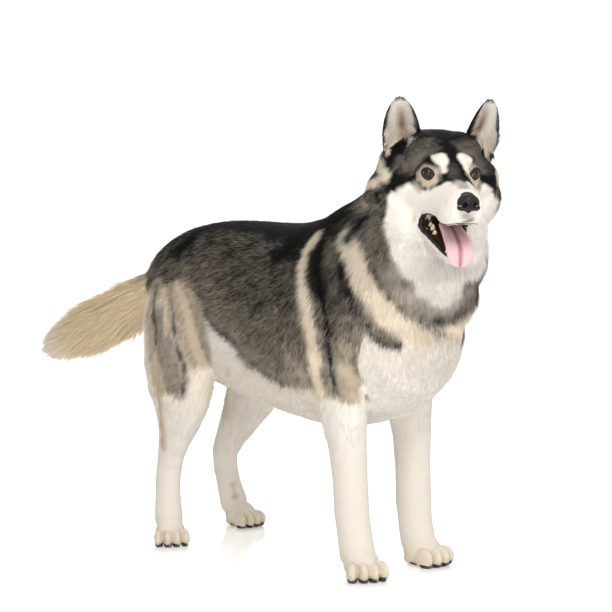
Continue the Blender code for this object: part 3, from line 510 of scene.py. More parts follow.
MOUTH_ROWS = (
    # x, top, bottom, half width of the hollow between the upper lips
    (-0.03, -0.066, -0.11, 0.024),
    (0.0, -0.062, -0.118, 0.029),
    (0.03, -0.06, -0.122, 0.027),
    (0.06, -0.06, -0.126, 0.024),
    (0.085, -0.061, -0.124, 0.018),
    (0.094, -0.064, -0.12, 0.01),
)
HEAD_FORMS = (
    # middle, radii, coat: one of each pair is given, the other is mirrored
    ((-0.084, 0.056, -0.046), (0.058, 0.058, 0.058), 0.003),  # cheek
    ((-0.062, 0.06, -0.016), (0.046, 0.041, 0.034), 0.0),  # temple
    ((-0.07, 0.046, -0.1), (0.05, 0.046, 0.048), 0.005),  # side of the throat
    ((-0.058, 0.03, 0.03), (0.05, 0.038, 0.031), 0.001),  # side of the forehead
    ((-0.014, 0.028, 0.019), (0.025, 0.018, 0.012), 0.002),  # brow
    ((-0.006, 0.036, 0.0), (0.018, 0.017, 0.018), 0.001),  # bed of the eye
    ((0.06, 0.018, -0.052), (0.042, 0.019, 0.023), 0.001),  # upper lip
)


# %% Skin of the head and jaw
HEAD_GRID = 0.0022
JAW_COAT = 0.0015
JAW_BACK = JAW.inverted()


def head_coat(x):
    """The coat is deep behind the cheeks and very short on the muzzle."""
    return 0.0012 + 0.0015 * min(max((0.01 - x) / 0.1, 0.0), 1.0)


def skull_rings():
    slimmer = [
        (x, top - head_coat(x), bottom + head_coat(x), half - head_coat(x), egg)
        for x, top, bottom, half, egg in SKULL
    ]
    return upright_rings(slimmer)


def mouth_hollow():
    bm = bmesh.new()
    bridge_tube(bm, upright_rings(MOUTH_ROWS), sides=24)
    bmesh.ops.recalc_face_normals(bm, faces=bm.faces)
    bmesh.ops.transform(bm, matrix=HEAD, verts=bm.verts)
    return link_mesh("mouth_hollow", bm)


def jaw_skin():
    bm = bmesh.new()
    bridge_tube(bm, upright_rings(JAW_ROWS, JAW_COAT), sides=28)
    bmesh.ops.transform(bm, matrix=JAW, verts=bm.verts)
    return fuse_forms("jaw_skin", bm, HEAD_GRID, 3)


bm = bmesh.new()
bridge_tube(bm, skull_rings(), sides=40)
add_ball(bm, (-0.07, 0.0, -0.135), (0.05, 0.064, 0.05))
for middle, radii, coat in HEAD_FORMS:
    for side in (1, -1):
        add_ball(bm, to_side(middle, side), [radius - coat for radius in radii])
bmesh.ops.transform(bm, matrix=HEAD, verts=bm.verts)
head_skin = fuse_forms("head_skin", bm, HEAD_GRID, 6)
join_or_cut(head_skin, "DIFFERENCE", mouth_hollow())
hollow = mouth_hollow()
MOUTH_TREE = BVHTree.FromObject(hollow, bpy.context.evaluated_depsgraph_get())
bpy.data.objects.remove(hollow)
join_or_cut(head_skin, "UNION", jaw_skin())
print("head skin faces", len(head_skin.data.polygons))

# %% [markdown]
# An upright ear is a thin leaf of skin bent to a cup that opens forward. A grid bent into a half tube
# that narrows to the tip gives the cup, and Solidify gives it the thickness of real skin and fur.

# %% Ears
EAR_FEET = {-1: Vector((-0.062, -0.062, 0.044)), 1: Vector((-0.062, 0.069, 0.041))}
EAR_HEIGHT = 0.07
EAR_HALF_WIDTH = 0.0285
EAR_WALL = 0.0036
EAR_GRID = 0.0013


def ear_axes(side):
    """Directions from the ear's foot to its tip, out of its opening, and across it."""
    up = Vector((0.3, 0.18 * side, 1.0)).normalized()
    face = Vector((0.94, 0.34 * side, 0.0))
    face = (face - up * up.dot(face)).normalized()
    return up, face, up.cross(face)


def ear_place(side, level, turn_share, shrink=0.0):
    """A point of the ear's cup in the head's frame: its height share and its turn round the cup."""
    up, face, across = ear_axes(side)
    share = max(level, 0.0)
    half = EAR_HALF_WIDTH * max(1 - share**2.2, 0.0) ** 0.56 + 0.0028 - shrink
    depth = 0.022 * (1 - 0.72 * share) + 0.002 - shrink
    turn = math.radians(104 - 30 * share) * turn_share
    middle = EAR_FEET[side] + up * EAR_HEIGHT * level - face * 0.006 * share * share
    return middle + across * math.sin(turn) * half - face * math.cos(turn) * depth


def ear_skin(side):
    bm = bmesh.new()
    bmesh.ops.create_grid(bm, x_segments=22, y_segments=30, size=1.0)
    for vert in bm.verts:
        level = -0.5 + 1.5 * (1 - ((1 - vert.co.y) / 2) ** 1.25)
        vert.co = ear_place(side, min(level, 0.985), vert.co.x, EAR_WALL / 2)
    bmesh.ops.recalc_face_normals(bm, faces=bm.faces)
    obj = link_mesh("ear_skin", bm)
    obj.data.transform(HEAD)
    wall = obj.modifiers.new("Wall", "SOLIDIFY")
    wall.thickness = EAR_WALL * 0.8
    wall.offset = 0.0
    remesh = obj.modifiers.new("Remesh", "REMESH")
    remesh.mode = "VOXEL"
    remesh.voxel_size = EAR_GRID
    smooth = obj.modifiers.new("Smooth", "SMOOTH")
    smooth.iterations = 3
    return settle_modifiers(obj)


for side in (-1, 1):
    join_or_cut(head_skin, "UNION", ear_skin(side))
join_or_cut(skin, "UNION", head_skin)


# %% [markdown]
# Fused forms leave a crease where head and neck meet and a ring where a leg runs into its paw. Both
# would show as a fold in the fur, so the vertices there are smoothed many times over. A light thinning
# then keeps the skin under the number of triangles that one piece may have.

# %% Softer seams
SEAM_FROM_MOUTH = 0.014
SKIN_SHARE_KEPT = 0.8


def at_neck_seam(place):
    """Between head and neck, clear of the face, the ears and the mouth."""
    local = HEAD_BACK @ place
    behind = -0.175 < local.x < -0.028 and -0.2 < local.z < 0.015
    beside = local.x < 0.03 and -0.115 < local.z < -0.018 and abs(local.y) > 0.03
    below = local.x < 0.03 and -0.24 < local.z < -0.115
    return (behind or beside or below) and MOUTH_TREE.find_nearest(place)[3] > SEAM_FROM_MOUTH


def at_wrist(place):
    return 0.034 < place.z < 0.1


def soften(chooses, rounds):
    """Smooths the skin wherever the test says so."""
    bm = bmesh.new()
    bm.from_mesh(skin.data)
    chosen = [vert for vert in bm.verts if chooses(vert.co)]
    for _ in range(rounds):
        bmesh.ops.smooth_vert(bm, verts=chosen, factor=0.5, use_axis_x=True, use_axis_y=True, use_axis_z=True)
    bm.to_mesh(skin.data)
    bm.free()


soften(at_neck_seam, 40)
soften(at_wrist, 14)
thinner = skin.modifiers.new("Decimate", "DECIMATE")
thinner.ratio = SKIN_SHARE_KEPT
settle_modifiers(skin)
for vert in skin.data.vertices:
    vert.co.z = max(vert.co.z, 0.0008)
skin.data.polygons.foreach_set("use_smooth", [True] * len(skin.data.polygons))
print("whole skin triangles", sum(len(face.vertices) - 2 for face in skin.data.polygons))

# %% [markdown]
# Eyes decide whether an animal looks alive. Each one is a ball with a raised clear front. Rings from the
# pupil outwards are told apart by the angle from the line of sight, kept on the mesh as an attribute, so
# the iris stays in place in any view.

# %% Eyes


def gaze(side):
    """The direction in which an eye looks, in the head's frame."""
    return Vector((0.9, 0.42 * side, 0.06)).normalized()


def keep_values(obj, name, values):
    """Writes one number for each vertex as an attribute that a material can read."""
    layer = obj.data.attributes.new(name, "FLOAT", "POINT")
    layer.data.foreach_set("value", np.asarray(values, dtype=np.float32))


def smooth_all(obj):
    obj.data.polygons.foreach_set("use_smooth", [True] * len(obj.data.polygons))


def finish_piece(obj, slot, *nodes):
    """Smooths a piece, sets it in the frame and hides the solids that it stands for."""
    smooth_all(obj)
    obj.data.transform(Matrix.Translation(PLAN_TO_FRAME))
    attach(obj, "root")
    if nodes:
        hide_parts(*nodes)
    return obj


def eyeball(side):
    """A ball with a raised clear front, and each vertex's angle from the line of sight."""
    bm = bmesh.new()
    bmesh.ops.create_uvsphere(bm, u_segments=48, v_segments=32, radius=EYE_RADIUS)
    bmesh.ops.rotate(bm, matrix=gaze(side).to_track_quat("Z", "Y").to_matrix(), verts=bm.verts)
    aim = gaze(side)
    angles = []
    for vert in bm.verts:
        front = max(min(vert.co.normalized().dot(aim), 1.0), -1.0)
        angles.append(math.acos(front))
        vert.co += aim * 0.0009 * max(front, 0.0) ** 8
    bmesh.ops.translate(bm, vec=to_side(EYE_PLACE, side), verts=bm.verts)
    bmesh.ops.transform(bm, matrix=HEAD, verts=bm.verts)
    word = "left" if side > 0 else "right"
    obj = link_mesh(f"eyeball_{word}", bm)
    keep_values(obj, "sight_angle", angles)
    return finish_piece(obj, "eyes", f"eye_{word}")


eyeballs = [eyeball(side) for side in (-1, 1)]
print("eyeball faces", len(eyeballs[0].data.polygons))

# %% [markdown]
# The lids are black, moist rims that hold the fur back from the eye. Each is a rounded rod swept along
# the almond of the opening, thicker above than below, and drawn to a point at the inner corner.

# %% Eyelids


def eye_opening(side, wide=0.0094, high=0.0078, lift=0.97, count=40):
    """The almond between the lids, in the head's frame."""
    centre = to_side(EYE_PLACE, side)
    aim = gaze(side)
    across = aim.cross(Vector((0, 0, 1))).normalized() * side
    upward = Vector((0, 0, 1))
    upward = (upward - aim * aim.dot(upward)).normalized()
    points = []
    for step in range(count):
        angle = 2 * math.pi * step / count
        out = wide * math.cos(angle)
        rise = high * math.sin(angle) * (1 - 0.35 * abs(math.cos(angle)) ** 3)
        slant = -out * 0.22
        forward = math.sqrt(max(EYE_RADIUS**2 - out**2 - rise**2, 0.0)) * lift
        points.append(centre + across * out + upward * (rise + slant) + aim * forward)
    return points


def sweep_rod(bm, points, radii, closed=True, sides=10, flatten=1.0):
    """Circles carried along a line of points and bridged, round or flattened."""
    count = len(points)
    loops = []
    last_side = None
    for step, point in enumerate(points):
        before = points[step - 1] if closed or step else point
        after = points[(step + 1) % count] if closed or step + 1 < count else point
        along = (after - before).normalized()
        side = last_side if last_side is not None else along.orthogonal()
        side = (side - along * along.dot(side)).normalized()
        last_side = side
        rise = along.cross(side)
        verts = bmesh.ops.create_circle(bm, segments=sides, radius=1.0)["verts"]
        for corner, vert in enumerate(verts):
            turn = 2 * math.pi * corner / sides
            vert.co = point + (side * math.cos(turn) * flatten + rise * math.sin(turn)) * radii[step]
        loops.append(verts)
    pairs = list(zip(loops, loops[1:]))
    if closed:
        pairs.append((loops[-1], loops[0]))
    for first, second in pairs:
        bmesh.ops.bridge_loops(bm, edges=loop_edges(first) + loop_edges(second))
    if not closed:
        for verts in (loops[0], loops[-1]):
            bmesh.ops.contextual_create(bm, geom=loop_edges(verts))
    bmesh.ops.recalc_face_normals(bm, faces=bm.faces)


def eyelid_rims():
    """One rod round each eye, thicker along its upper half."""
    bm = bmesh.new()
    for side in (-1, 1):
        points = eye_opening(side)
        count = len(points)
        radii = [0.0022 + 0.0006 * max(math.sin(2 * math.pi * step / count), 0.0) for step in range(count)]
        sweep_rod(bm, points, radii)
    bmesh.ops.transform(bm, matrix=HEAD, verts=bm.verts)
    return link_mesh("eyelid_rims", bm)


lid_rims = finish_piece(eyelid_rims(), "coat_head")
print("lid faces", len(lid_rims.data.polygons))

# %% [markdown]
# The nose is a pad of pebbled leather with two comma-shaped nostrils and a groove down its middle. It
# is fused from balls on a very fine grid, and the nostrils are cut into it, so they have real depth.

# %% Nose


NOSE_GRID = 0.0008


def cutter_ball(place, radii):
    """A ball in the head's frame that a Boolean takes away."""
    bm = bmesh.new()
    add_ball(bm, place, radii, segments=20)
    obj = link_mesh("cutter", bm)
    obj.data.transform(HEAD)
    return obj


bm = bmesh.new()
add_ball(bm, (0.104, 0, -0.033), (0.013, 0.018, 0.014))
add_ball(bm, (0.096, 0, -0.029), (0.014, 0.015, 0.012))
add_ball(bm, (0.1045, 0, -0.0445), (0.0055, 0.004, 0.005))
for side in (1, -1):
    add_ball(bm, to_side((0.1075, 0.011, -0.04), side), (0.008, 0.0075, 0.005))
bmesh.ops.transform(bm, matrix=HEAD, verts=bm.verts)
nose = fuse_forms("nose_leather", bm, NOSE_GRID, 5)
for side in (1, -1):
    nostril = cutter_ball(to_side((0.1165, 0.008, -0.035), side), (0.0095, 0.0042, 0.0048))
    join_or_cut(nose, "DIFFERENCE", nostril)
    slit = cutter_ball(to_side((0.113, 0.014, -0.0375), side), (0.0085, 0.005, 0.0015))
    join_or_cut(nose, "DIFFERENCE", slit)
groove = cutter_ball((0.118, 0, -0.042), (0.0036, 0.0008, 0.013))
join_or_cut(nose, "DIFFERENCE", groove)
finish_piece(nose, "nose", "nose_pad")
print("nose faces", len(nose.data.polygons))

# %% [markdown]
# A panting tongue rests on the lower teeth and spills over them. Its edges are thicker than its
# middle, which is drawn in along a groove, and it narrows where it passes the teeth.

# %% Tongue
GROOVE_HALF = 0.0012
TONGUE_ROWS = (
    # x, y, z of the middle, half width, half thickness, in the head's frame
    (-0.01, 0.0, -0.079, 0.014, 0.0055),
    (0.015, 0.0, -0.083, 0.017, 0.0055),
    (0.035, 0.0, -0.089, 0.0195, 0.0055),
    (0.055, -0.001, -0.096, 0.0215, 0.005),
    (0.07, -0.002, -0.102, 0.022, 0.0046),
    (0.081, -0.003, -0.1085, 0.0225, 0.0042),
    (0.088, -0.004, -0.115, 0.0222, 0.0039),
    (0.0912, -0.005, -0.122, 0.021, 0.0036),
    (0.0915, -0.005, -0.128, 0.018, 0.0033),
    (0.0905, -0.005, -0.1325, 0.0125, 0.0028),
    (0.0895, -0.005, -0.1352, 0.005, 0.0018),
)


def tongue_piece(sides=32):
    """The tongue with its groove pressed in and its edges swollen on the upper side."""
    bm = bmesh.new()
    rings = along_rings(TONGUE_ROWS)
    verts = bridge_tube(bm, rings, sides=sides, square=2.5)
    for step, ring in enumerate(rings):
        for vert in verts[step * sides : (step + 1) * sides]:
            across = (vert.co - ring.centre).dot(ring.side) / ring.half_side
            groove = 0.003 * math.exp(-((across / 0.1) ** 2))
            swell = 0.001 * math.exp(-(((abs(across) - 0.72) / 0.22) ** 2))
            outer = 1.0 if (vert.co - ring.centre).dot(ring.top) > 0 else 0.0
            vert.co += ring.top * (swell - groove) * outer
    ring_of_vert = [ring for ring in rings for _ in range(sides)]
    off_middle = [(vert.co - ring.centre).dot(ring.side) for ring, vert in zip(ring_of_vert, verts)]
    bmesh.ops.recalc_face_normals(bm, faces=bm.faces)
    obj = link_mesh("tongue_soft", bm)
    # the groove attribute also marks where the tongue's crease gets painted shade
    keep_values(obj, "groove", [math.exp(-((off / GROOVE_HALF) ** 2)) for off in off_middle])
    obj.data.transform(HEAD)
    rounder = obj.modifiers.new("Rounder", "SUBSURF")
    rounder.levels = 2
    rounder.render_levels = 2
    return settle_modifiers(obj)


tongue = finish_piece(tongue_piece(), "tongue", "tongue")
print("tongue faces", len(tongue.data.polygons))

# %% [markdown]
# The lips are black skin. The upper one lies along the edge of the muzzle and meets the lower one at the
# corner of the mouth, where the lower lip hangs in a loose, notched fold. Rods swept along their lines
# and sunk half into the skin give a wet edge with a real thickness.

# %% Lips
UPPER_LIP = (
    (-0.038, 0.036, -0.079),
    (-0.02, 0.0385, -0.076),
    (0.0, 0.037, -0.0742),
    (0.022, 0.034, -0.0742),
    (0.045, 0.032, -0.0752),
    (0.066, 0.0295, -0.0752),
    (0.083, 0.0245, -0.073),
    (0.094, 0.016, -0.0695),
    (0.099, 0.007, -0.0665),
)
LOWER_LIP = (
    # in the jaw's frame
    (0.006, 0.0375, -0.002),
    (0.022, 0.0395, -0.0035),
    (0.04, 0.036, -0.0045),
    (0.06, 0.0305, -0.0045),
    (0.08, 0.0255, -0.0035),
    (0.098, 0.0215, -0.002),
    (0.111, 0.017, -0.001),
    (0.1185, 0.009, -0.0015),
    (0.1205, 0.0, -0.002),
)


LIP_TREE = BVHTree.FromObject(skin, bpy.context.evaluated_depsgraph_get())


def soft_line(points, per_span=5):
    """A Catmull-Rom line, which is smooth and passes through its points."""
    places = [Vector(point) for point in points]
    made = []
    for step in range(len(places) - 1):
        before = places[max(step - 1, 0)]
        first, second = places[step], places[step + 1]
        after = places[min(step + 2, len(places) - 1)]
        for part in range(per_span):
            t = part / per_span
            bend = (2 * before - 5 * first + 4 * second - after) * t * t
            twist = (3 * first - before - 3 * second + after) * t**3
            made.append(0.5 * (2 * first + (second - before) * t + bend + twist))
    made.append(places[-1])
    return made


def on_skin(place, sink):
    """The nearest place just under the skin, so that a lip lies on it and not beside it."""
    near, normal, _, _ = LIP_TREE.find_nearest(place)
    return near - normal * sink


def lip_line(points):
    """One line from the right corner round the front to the left corner."""
    right = [to_side(point, -1) for point in points]
    left = [to_side(point, 1) for point in reversed(points) if point[1] > 0.001]
    return soft_line(right + left)


def lip_piece():
    """Both lips, thick at the corner of the mouth and thin in front."""
    bm = bmesh.new()
    upper = lip_line(UPPER_LIP)
    count = len(upper)
    radii = [0.001 + 0.0017 * abs(2 * step / (count - 1) - 1) ** 3 for step in range(count)]
    sweep_rod(bm, [on_skin(HEAD @ point, 0.0004) for point in upper], radii, closed=False)
    lower = lip_line(LOWER_LIP)
    count = len(lower)
    radii = []
    for step in range(count):
        back = abs(2 * step / (count - 1) - 1)
        notches = 0.0006 * math.sin(step * 1.9) * back
        radii.append(0.0024 + 0.003 * back**1.3 + notches)
    sweep_rod(bm, [on_skin(JAW @ point, 0.0) for point in lower], radii, closed=False)
    return link_mesh("lips", bm)


lips = finish_piece(lip_piece(), "coat_head")
print("lips faces", len(lips.data.polygons))

# %% [markdown]
# Teeth show only where the mouth is open: a few lower cheek teeth beside the root of the tongue. The
# rest keep behind the lips. Each is a tapered tube with a blunt tip, rooted in the gum.

# %% Teeth


def add_tooth(bm, root, tip, radius, place):
    """A tooth that tapers from its root to a blunt tip and leans back a little."""
    along = tip - root
    shares = ((0.0, 1.0), (0.45, 0.86), (0.75, 0.55), (0.93, 0.26), (1.0, 0.1))
    points = [place @ (root + along * share + Vector((-0.0015 * share * share, 0, 0))) for share, _ in shares]
    sweep_rod(bm, points, [radius * size for _, size in shares], closed=False, sides=10)


def teeth_piece():
    """Canines and front teeth of both jaws, and three lower cheek teeth on each side."""
    bm = bmesh.new()
    for side in (1, -1):
        canine = Vector((0.106, 0.0135 * side, -0.004))
        add_tooth(bm, canine, canine + Vector((0.002, 0.001 * side, 0.0115)), 0.0034, JAW)
        for place, height in ((0.053, 0.004), (0.0425, 0.008), (0.032, 0.005)):
            root = Vector((place, (0.015 + (0.106 - place) * 0.1) * side, -0.004))
            add_tooth(bm, root, root + Vector((0.001, 0, height + 0.004)), 0.0042, JAW)
        for step in range(3):
            root = Vector((0.1135 - 0.001 * step, (0.0019 + 0.0038 * step) * side, -0.004))
            add_tooth(bm, root, root + Vector((0.002, 0, 0.009)), 0.002, JAW)
        canine = Vector((0.083, 0.015 * side, -0.056))
        add_tooth(bm, canine, canine + Vector((0.0, 0, -0.013)), 0.004, HEAD)
        for step in range(3):
            root = Vector((0.09 - 0.0016 * step, (0.0024 + 0.0045 * step) * side, -0.056))
            add_tooth(bm, root, root + Vector((0.0, 0, -0.0105)), 0.0024, HEAD)
    return link_mesh("teeth", bm)


teeth = finish_piece(teeth_piece(), "coat_head")
print("teeth faces", len(teeth.data.polygons))

# %% [markdown]
# Claws are dark horn that grows forward and down out of each toe, with a flat groove beneath. Pads of
# rough black skin carry the weight. Both are swept or rounded forms at the place that the paw gives.

# %% Claws and pads
CLAW_LENGTH = 0.0055
CLAW_DROP = 0.0085
CLAW_RADIUS = 0.0019


def claws_of(name):
    """The four claws of a paw, each curved forward and down to a blunt point."""
    bm = bmesh.new()
    place = paw_frame(name)
    for spread in TOES:
        start = Vector((toe_front(spread) + 0.005, spread * TOE_PITCH, 0.0125))
        shares = [step / 6 for step in range(7)]
        curve = [Vector((CLAW_LENGTH * share, 0, -CLAW_DROP * share * share)) for share in shares]
        points = [place @ (start + offset) for offset in curve]
        radii = [CLAW_RADIUS * (1 - share**1.6) + 0.0004 for share in shares]
        sweep_rod(bm, points, radii, closed=False, sides=10, flatten=0.8)
    obj = link_mesh("claws_" + name, bm)
    return finish_piece(obj, "claws", *[f"claw_{name}_{number}" for number in (1, 2, 3, 4)])


def pads_of(name):
    """The heel pad and the four toe pads of a paw, flat where they stand."""
    bm = bmesh.new()
    place = paw_frame(name)
    add_ball(bm, (-0.01, 0, 0.006), (0.017, 0.0185, 0.0055))
    for spread in TOES:
        middle = Vector((toe_front(spread) - 0.004, spread * TOE_PITCH * 0.97, 0.0062))
        add_ball(bm, middle, (0.0125, 0.0078, 0.0056))
    bmesh.ops.transform(bm, matrix=place, verts=bm.verts)
    for vert in bm.verts:
        vert.co.z = max(vert.co.z, 0.0003)
    obj = link_mesh("pads_" + name, bm)
    return finish_piece(obj, "paws")


claws = [claws_of(name) for name in PAWS]
pads = [pads_of(name) for name in PAWS]
print("claw pieces", len(claws))

# %% [markdown]
# A coat has a lie: the way a hand strokes it. It runs back from the nose, down the neck and legs and
# along the tail. A few combs are set on the body, each with its own direction, hair length and
# lift, and every tuft takes a mean of the combs round it, weighted by nearness.

# %% Combs
Comb = namedtuple("Comb", "place lie length lift width")


def both_sides(x, y, z, lie, length, lift, width):
    """A comb and its twin across the body's middle plane."""
    return [
        Comb(Vector((x, side * y, z)), Vector((lie[0], side * lie[1], lie[2])), length, lift, width)
        for side in (1, -1)
    ]


def head_pair(x, y, z, lie, length, lift, width):
    """The same in the head's frame."""
    made = both_sides(x, y, z, lie, length, lift, width)
    return [comb._replace(place=HEAD @ comb.place, lie=HEAD.to_3x3() @ comb.lie) for comb in made]


COMBS = []
for row in (
    # x, y, z, lie, hair length, lift and width: the trunk
    (0.3, 0.01, 0.57, (-1.0, 0.0, -0.1), 0.0267, 0.4, 0.0013),
    (0.18, 0.01, 0.56, (-1.0, 0.0, -0.02), 0.0235, 0.34, 0.0013),
    (0.02, 0.01, 0.565, (-1.0, 0.0, 0.0), 0.0223, 0.33, 0.0013),
    (-0.12, 0.01, 0.545, (-1.0, 0.0, -0.25), 0.0223, 0.33, 0.0013),
    (-0.195, 0.02, 0.48, (-0.6, 0.0, -0.8), 0.0251, 0.34, 0.0013),
    (0.22, 0.13, 0.46, (-0.85, 0.0, -0.5), 0.0223, 0.31, 0.0013),
    (0.08, 0.125, 0.44, (-0.9, 0.0, -0.4), 0.0223, 0.31, 0.0013),
    (-0.05, 0.11, 0.47, (-0.85, 0.0, -0.5), 0.0223, 0.31, 0.0013),
    (0.2, 0.13, 0.33, (-0.8, 0.0, -0.6), 0.0235, 0.31, 0.0013),
    (0.06, 0.115, 0.32, (-0.85, 0.0, -0.45), 0.0235, 0.31, 0.0013),
    (0.22, 0.06, 0.24, (-1.0, 0.0, -0.15), 0.0201, 0.3, 0.0013),
    (0.06, 0.05, 0.26, (-1.0, 0.0, -0.1), 0.0189, 0.3, 0.0013),
    (-0.06, 0.04, 0.29, (-1.0, 0.0, 0.0), 0.0156, 0.25, 0.0011),
    (0.49, 0.02, 0.43, (0.05, 0.0, -1.0), 0.0218, 0.25, 0.0014),
    (0.45, 0.09, 0.4, (-0.15, 0.1, -1.0), 0.0209, 0.25, 0.0014),
    (0.43, 0.03, 0.29, (-0.5, 0.0, -0.9), 0.0176, 0.23, 0.0013),
    (0.34, 0.13, 0.44, (-0.5, 0.0, -0.9), 0.0223, 0.3, 0.0013),
    (0.33, 0.13, 0.34, (-0.25, 0.0, -1.0), 0.0189, 0.28, 0.0011),
    # neck
    (0.37, 0.01, 0.625, (-0.8, 0.0, -0.6), 0.0311, 0.42, 0.0013),
    (0.33, 0.08, 0.58, (-0.75, 0.1, -0.7), 0.0288, 0.39, 0.0013),
    (0.4, 0.1, 0.58, (-0.5, 0.1, -0.9), 0.0311, 0.39, 0.0013),
    (0.4, 0.115, 0.5, (-0.4, 0.1, -0.9), 0.0311, 0.35, 0.0013),
    (0.47, 0.095, 0.5, (-0.15, 0.2, -1.0), 0.0322, 0.35, 0.0013),
    (0.515, 0.02, 0.52, (0.1, 0.0, -1.0), 0.0322, 0.35, 0.0013),
    # thighs
    (-0.04, 0.135, 0.4, (-0.45, 0.0, -0.9), 0.0201, 0.26, 0.0012),
    (-0.03, 0.135, 0.32, (-0.35, 0.0, -1.0), 0.0166, 0.22, 0.0012),
    (-0.12, 0.13, 0.36, (-0.5, 0.0, -0.9), 0.0248, 0.29, 0.0013),
    (-0.17, 0.09, 0.4, (-0.45, 0.1, -0.9), 0.033, 0.38, 0.0014),
    (-0.155, 0.09, 0.33, (-0.45, 0.1, -0.95), 0.033, 0.38, 0.0014),
    (-0.135, 0.1, 0.27, (-0.3, 0.0, -1.0), 0.026, 0.32, 0.0013),
    (-0.08, 0.06, 0.3, (-0.3, 0.0, -1.0), 0.0177, 0.22, 0.0012),
    # legs
    (-0.06, 0.112, 0.2, (-0.25, 0.0, -1.0), 0.0135, 0.27, 0.0011),
    (-0.15, 0.112, 0.19, (-0.45, 0.0, -0.9), 0.0162, 0.31, 0.0011),
    (-0.08, 0.112, 0.12, (0.0, 0.0, -1.0), 0.0101, 0.23, 0.001),
    (-0.175, 0.112, 0.11, (0.2, 0.0, -1.0), 0.0101, 0.23, 0.001),
    (-0.065, 0.112, 0.06, (0.2, 0.0, -1.0), 0.0081, 0.22, 0.0009),
    (-0.15, 0.112, 0.055, (0.4, 0.0, -1.0), 0.0081, 0.22, 0.0009),
    (0.36, 0.1, 0.27, (-0.05, 0.0, -1.0), 0.0175, 0.27, 0.0012),
    (0.31, 0.09, 0.28, (-0.25, 0.0, -1.0), 0.0189, 0.31, 0.0012),
    (0.37, 0.096, 0.18, (0.0, 0.0, -1.0), 0.0108, 0.23, 0.001),
    (0.34, 0.08, 0.17, (-0.15, 0.0, -1.0), 0.0121, 0.25, 0.001),
    (0.375, 0.092, 0.08, (0.05, 0.0, -1.0), 0.0081, 0.22, 0.0009),
    # paws
    (0.42, 0.092, 0.04, (0.75, 0.0, -0.6), 0.0061, 0.22, 0.0008),
    (0.395, 0.08, 0.036, (0.75, 0.0, -0.6), 0.0061, 0.22, 0.0008),
    (-0.04, 0.116, 0.036, (0.75, 0.0, -0.6), 0.0061, 0.22, 0.0008),
    (-0.11, 0.11, 0.036, (0.75, 0.0, -0.6), 0.0061, 0.22, 0.0008),
    # tail
    (-0.215, 0.02, 0.47, (-0.85, 0.0, -0.45), 0.0423, 0.44, 0.0016),
    (-0.29, 0.03, 0.45, (-0.9, 0.1, -0.3), 0.0592, 0.57, 0.0018),
    (-0.29, 0.03, 0.395, (-0.85, 0.1, -0.6), 0.0661, 0.59, 0.0018),
    (-0.4, 0.03, 0.41, (-0.93, 0.1, -0.3), 0.0643, 0.61, 0.0018),
    (-0.4, 0.03, 0.35, (-0.88, 0.1, -0.55), 0.0711, 0.61, 0.0018),
    (-0.51, 0.02, 0.36, (-0.95, 0.1, -0.3), 0.0576, 0.57, 0.0018),
    (-0.51, 0.02, 0.32, (-0.92, 0.1, -0.45), 0.0627, 0.57, 0.0018),
    (-0.58, 0.0, 0.315, (-0.95, 0.0, -0.3), 0.0389, 0.38, 0.0016),
):
    COMBS += both_sides(*row)
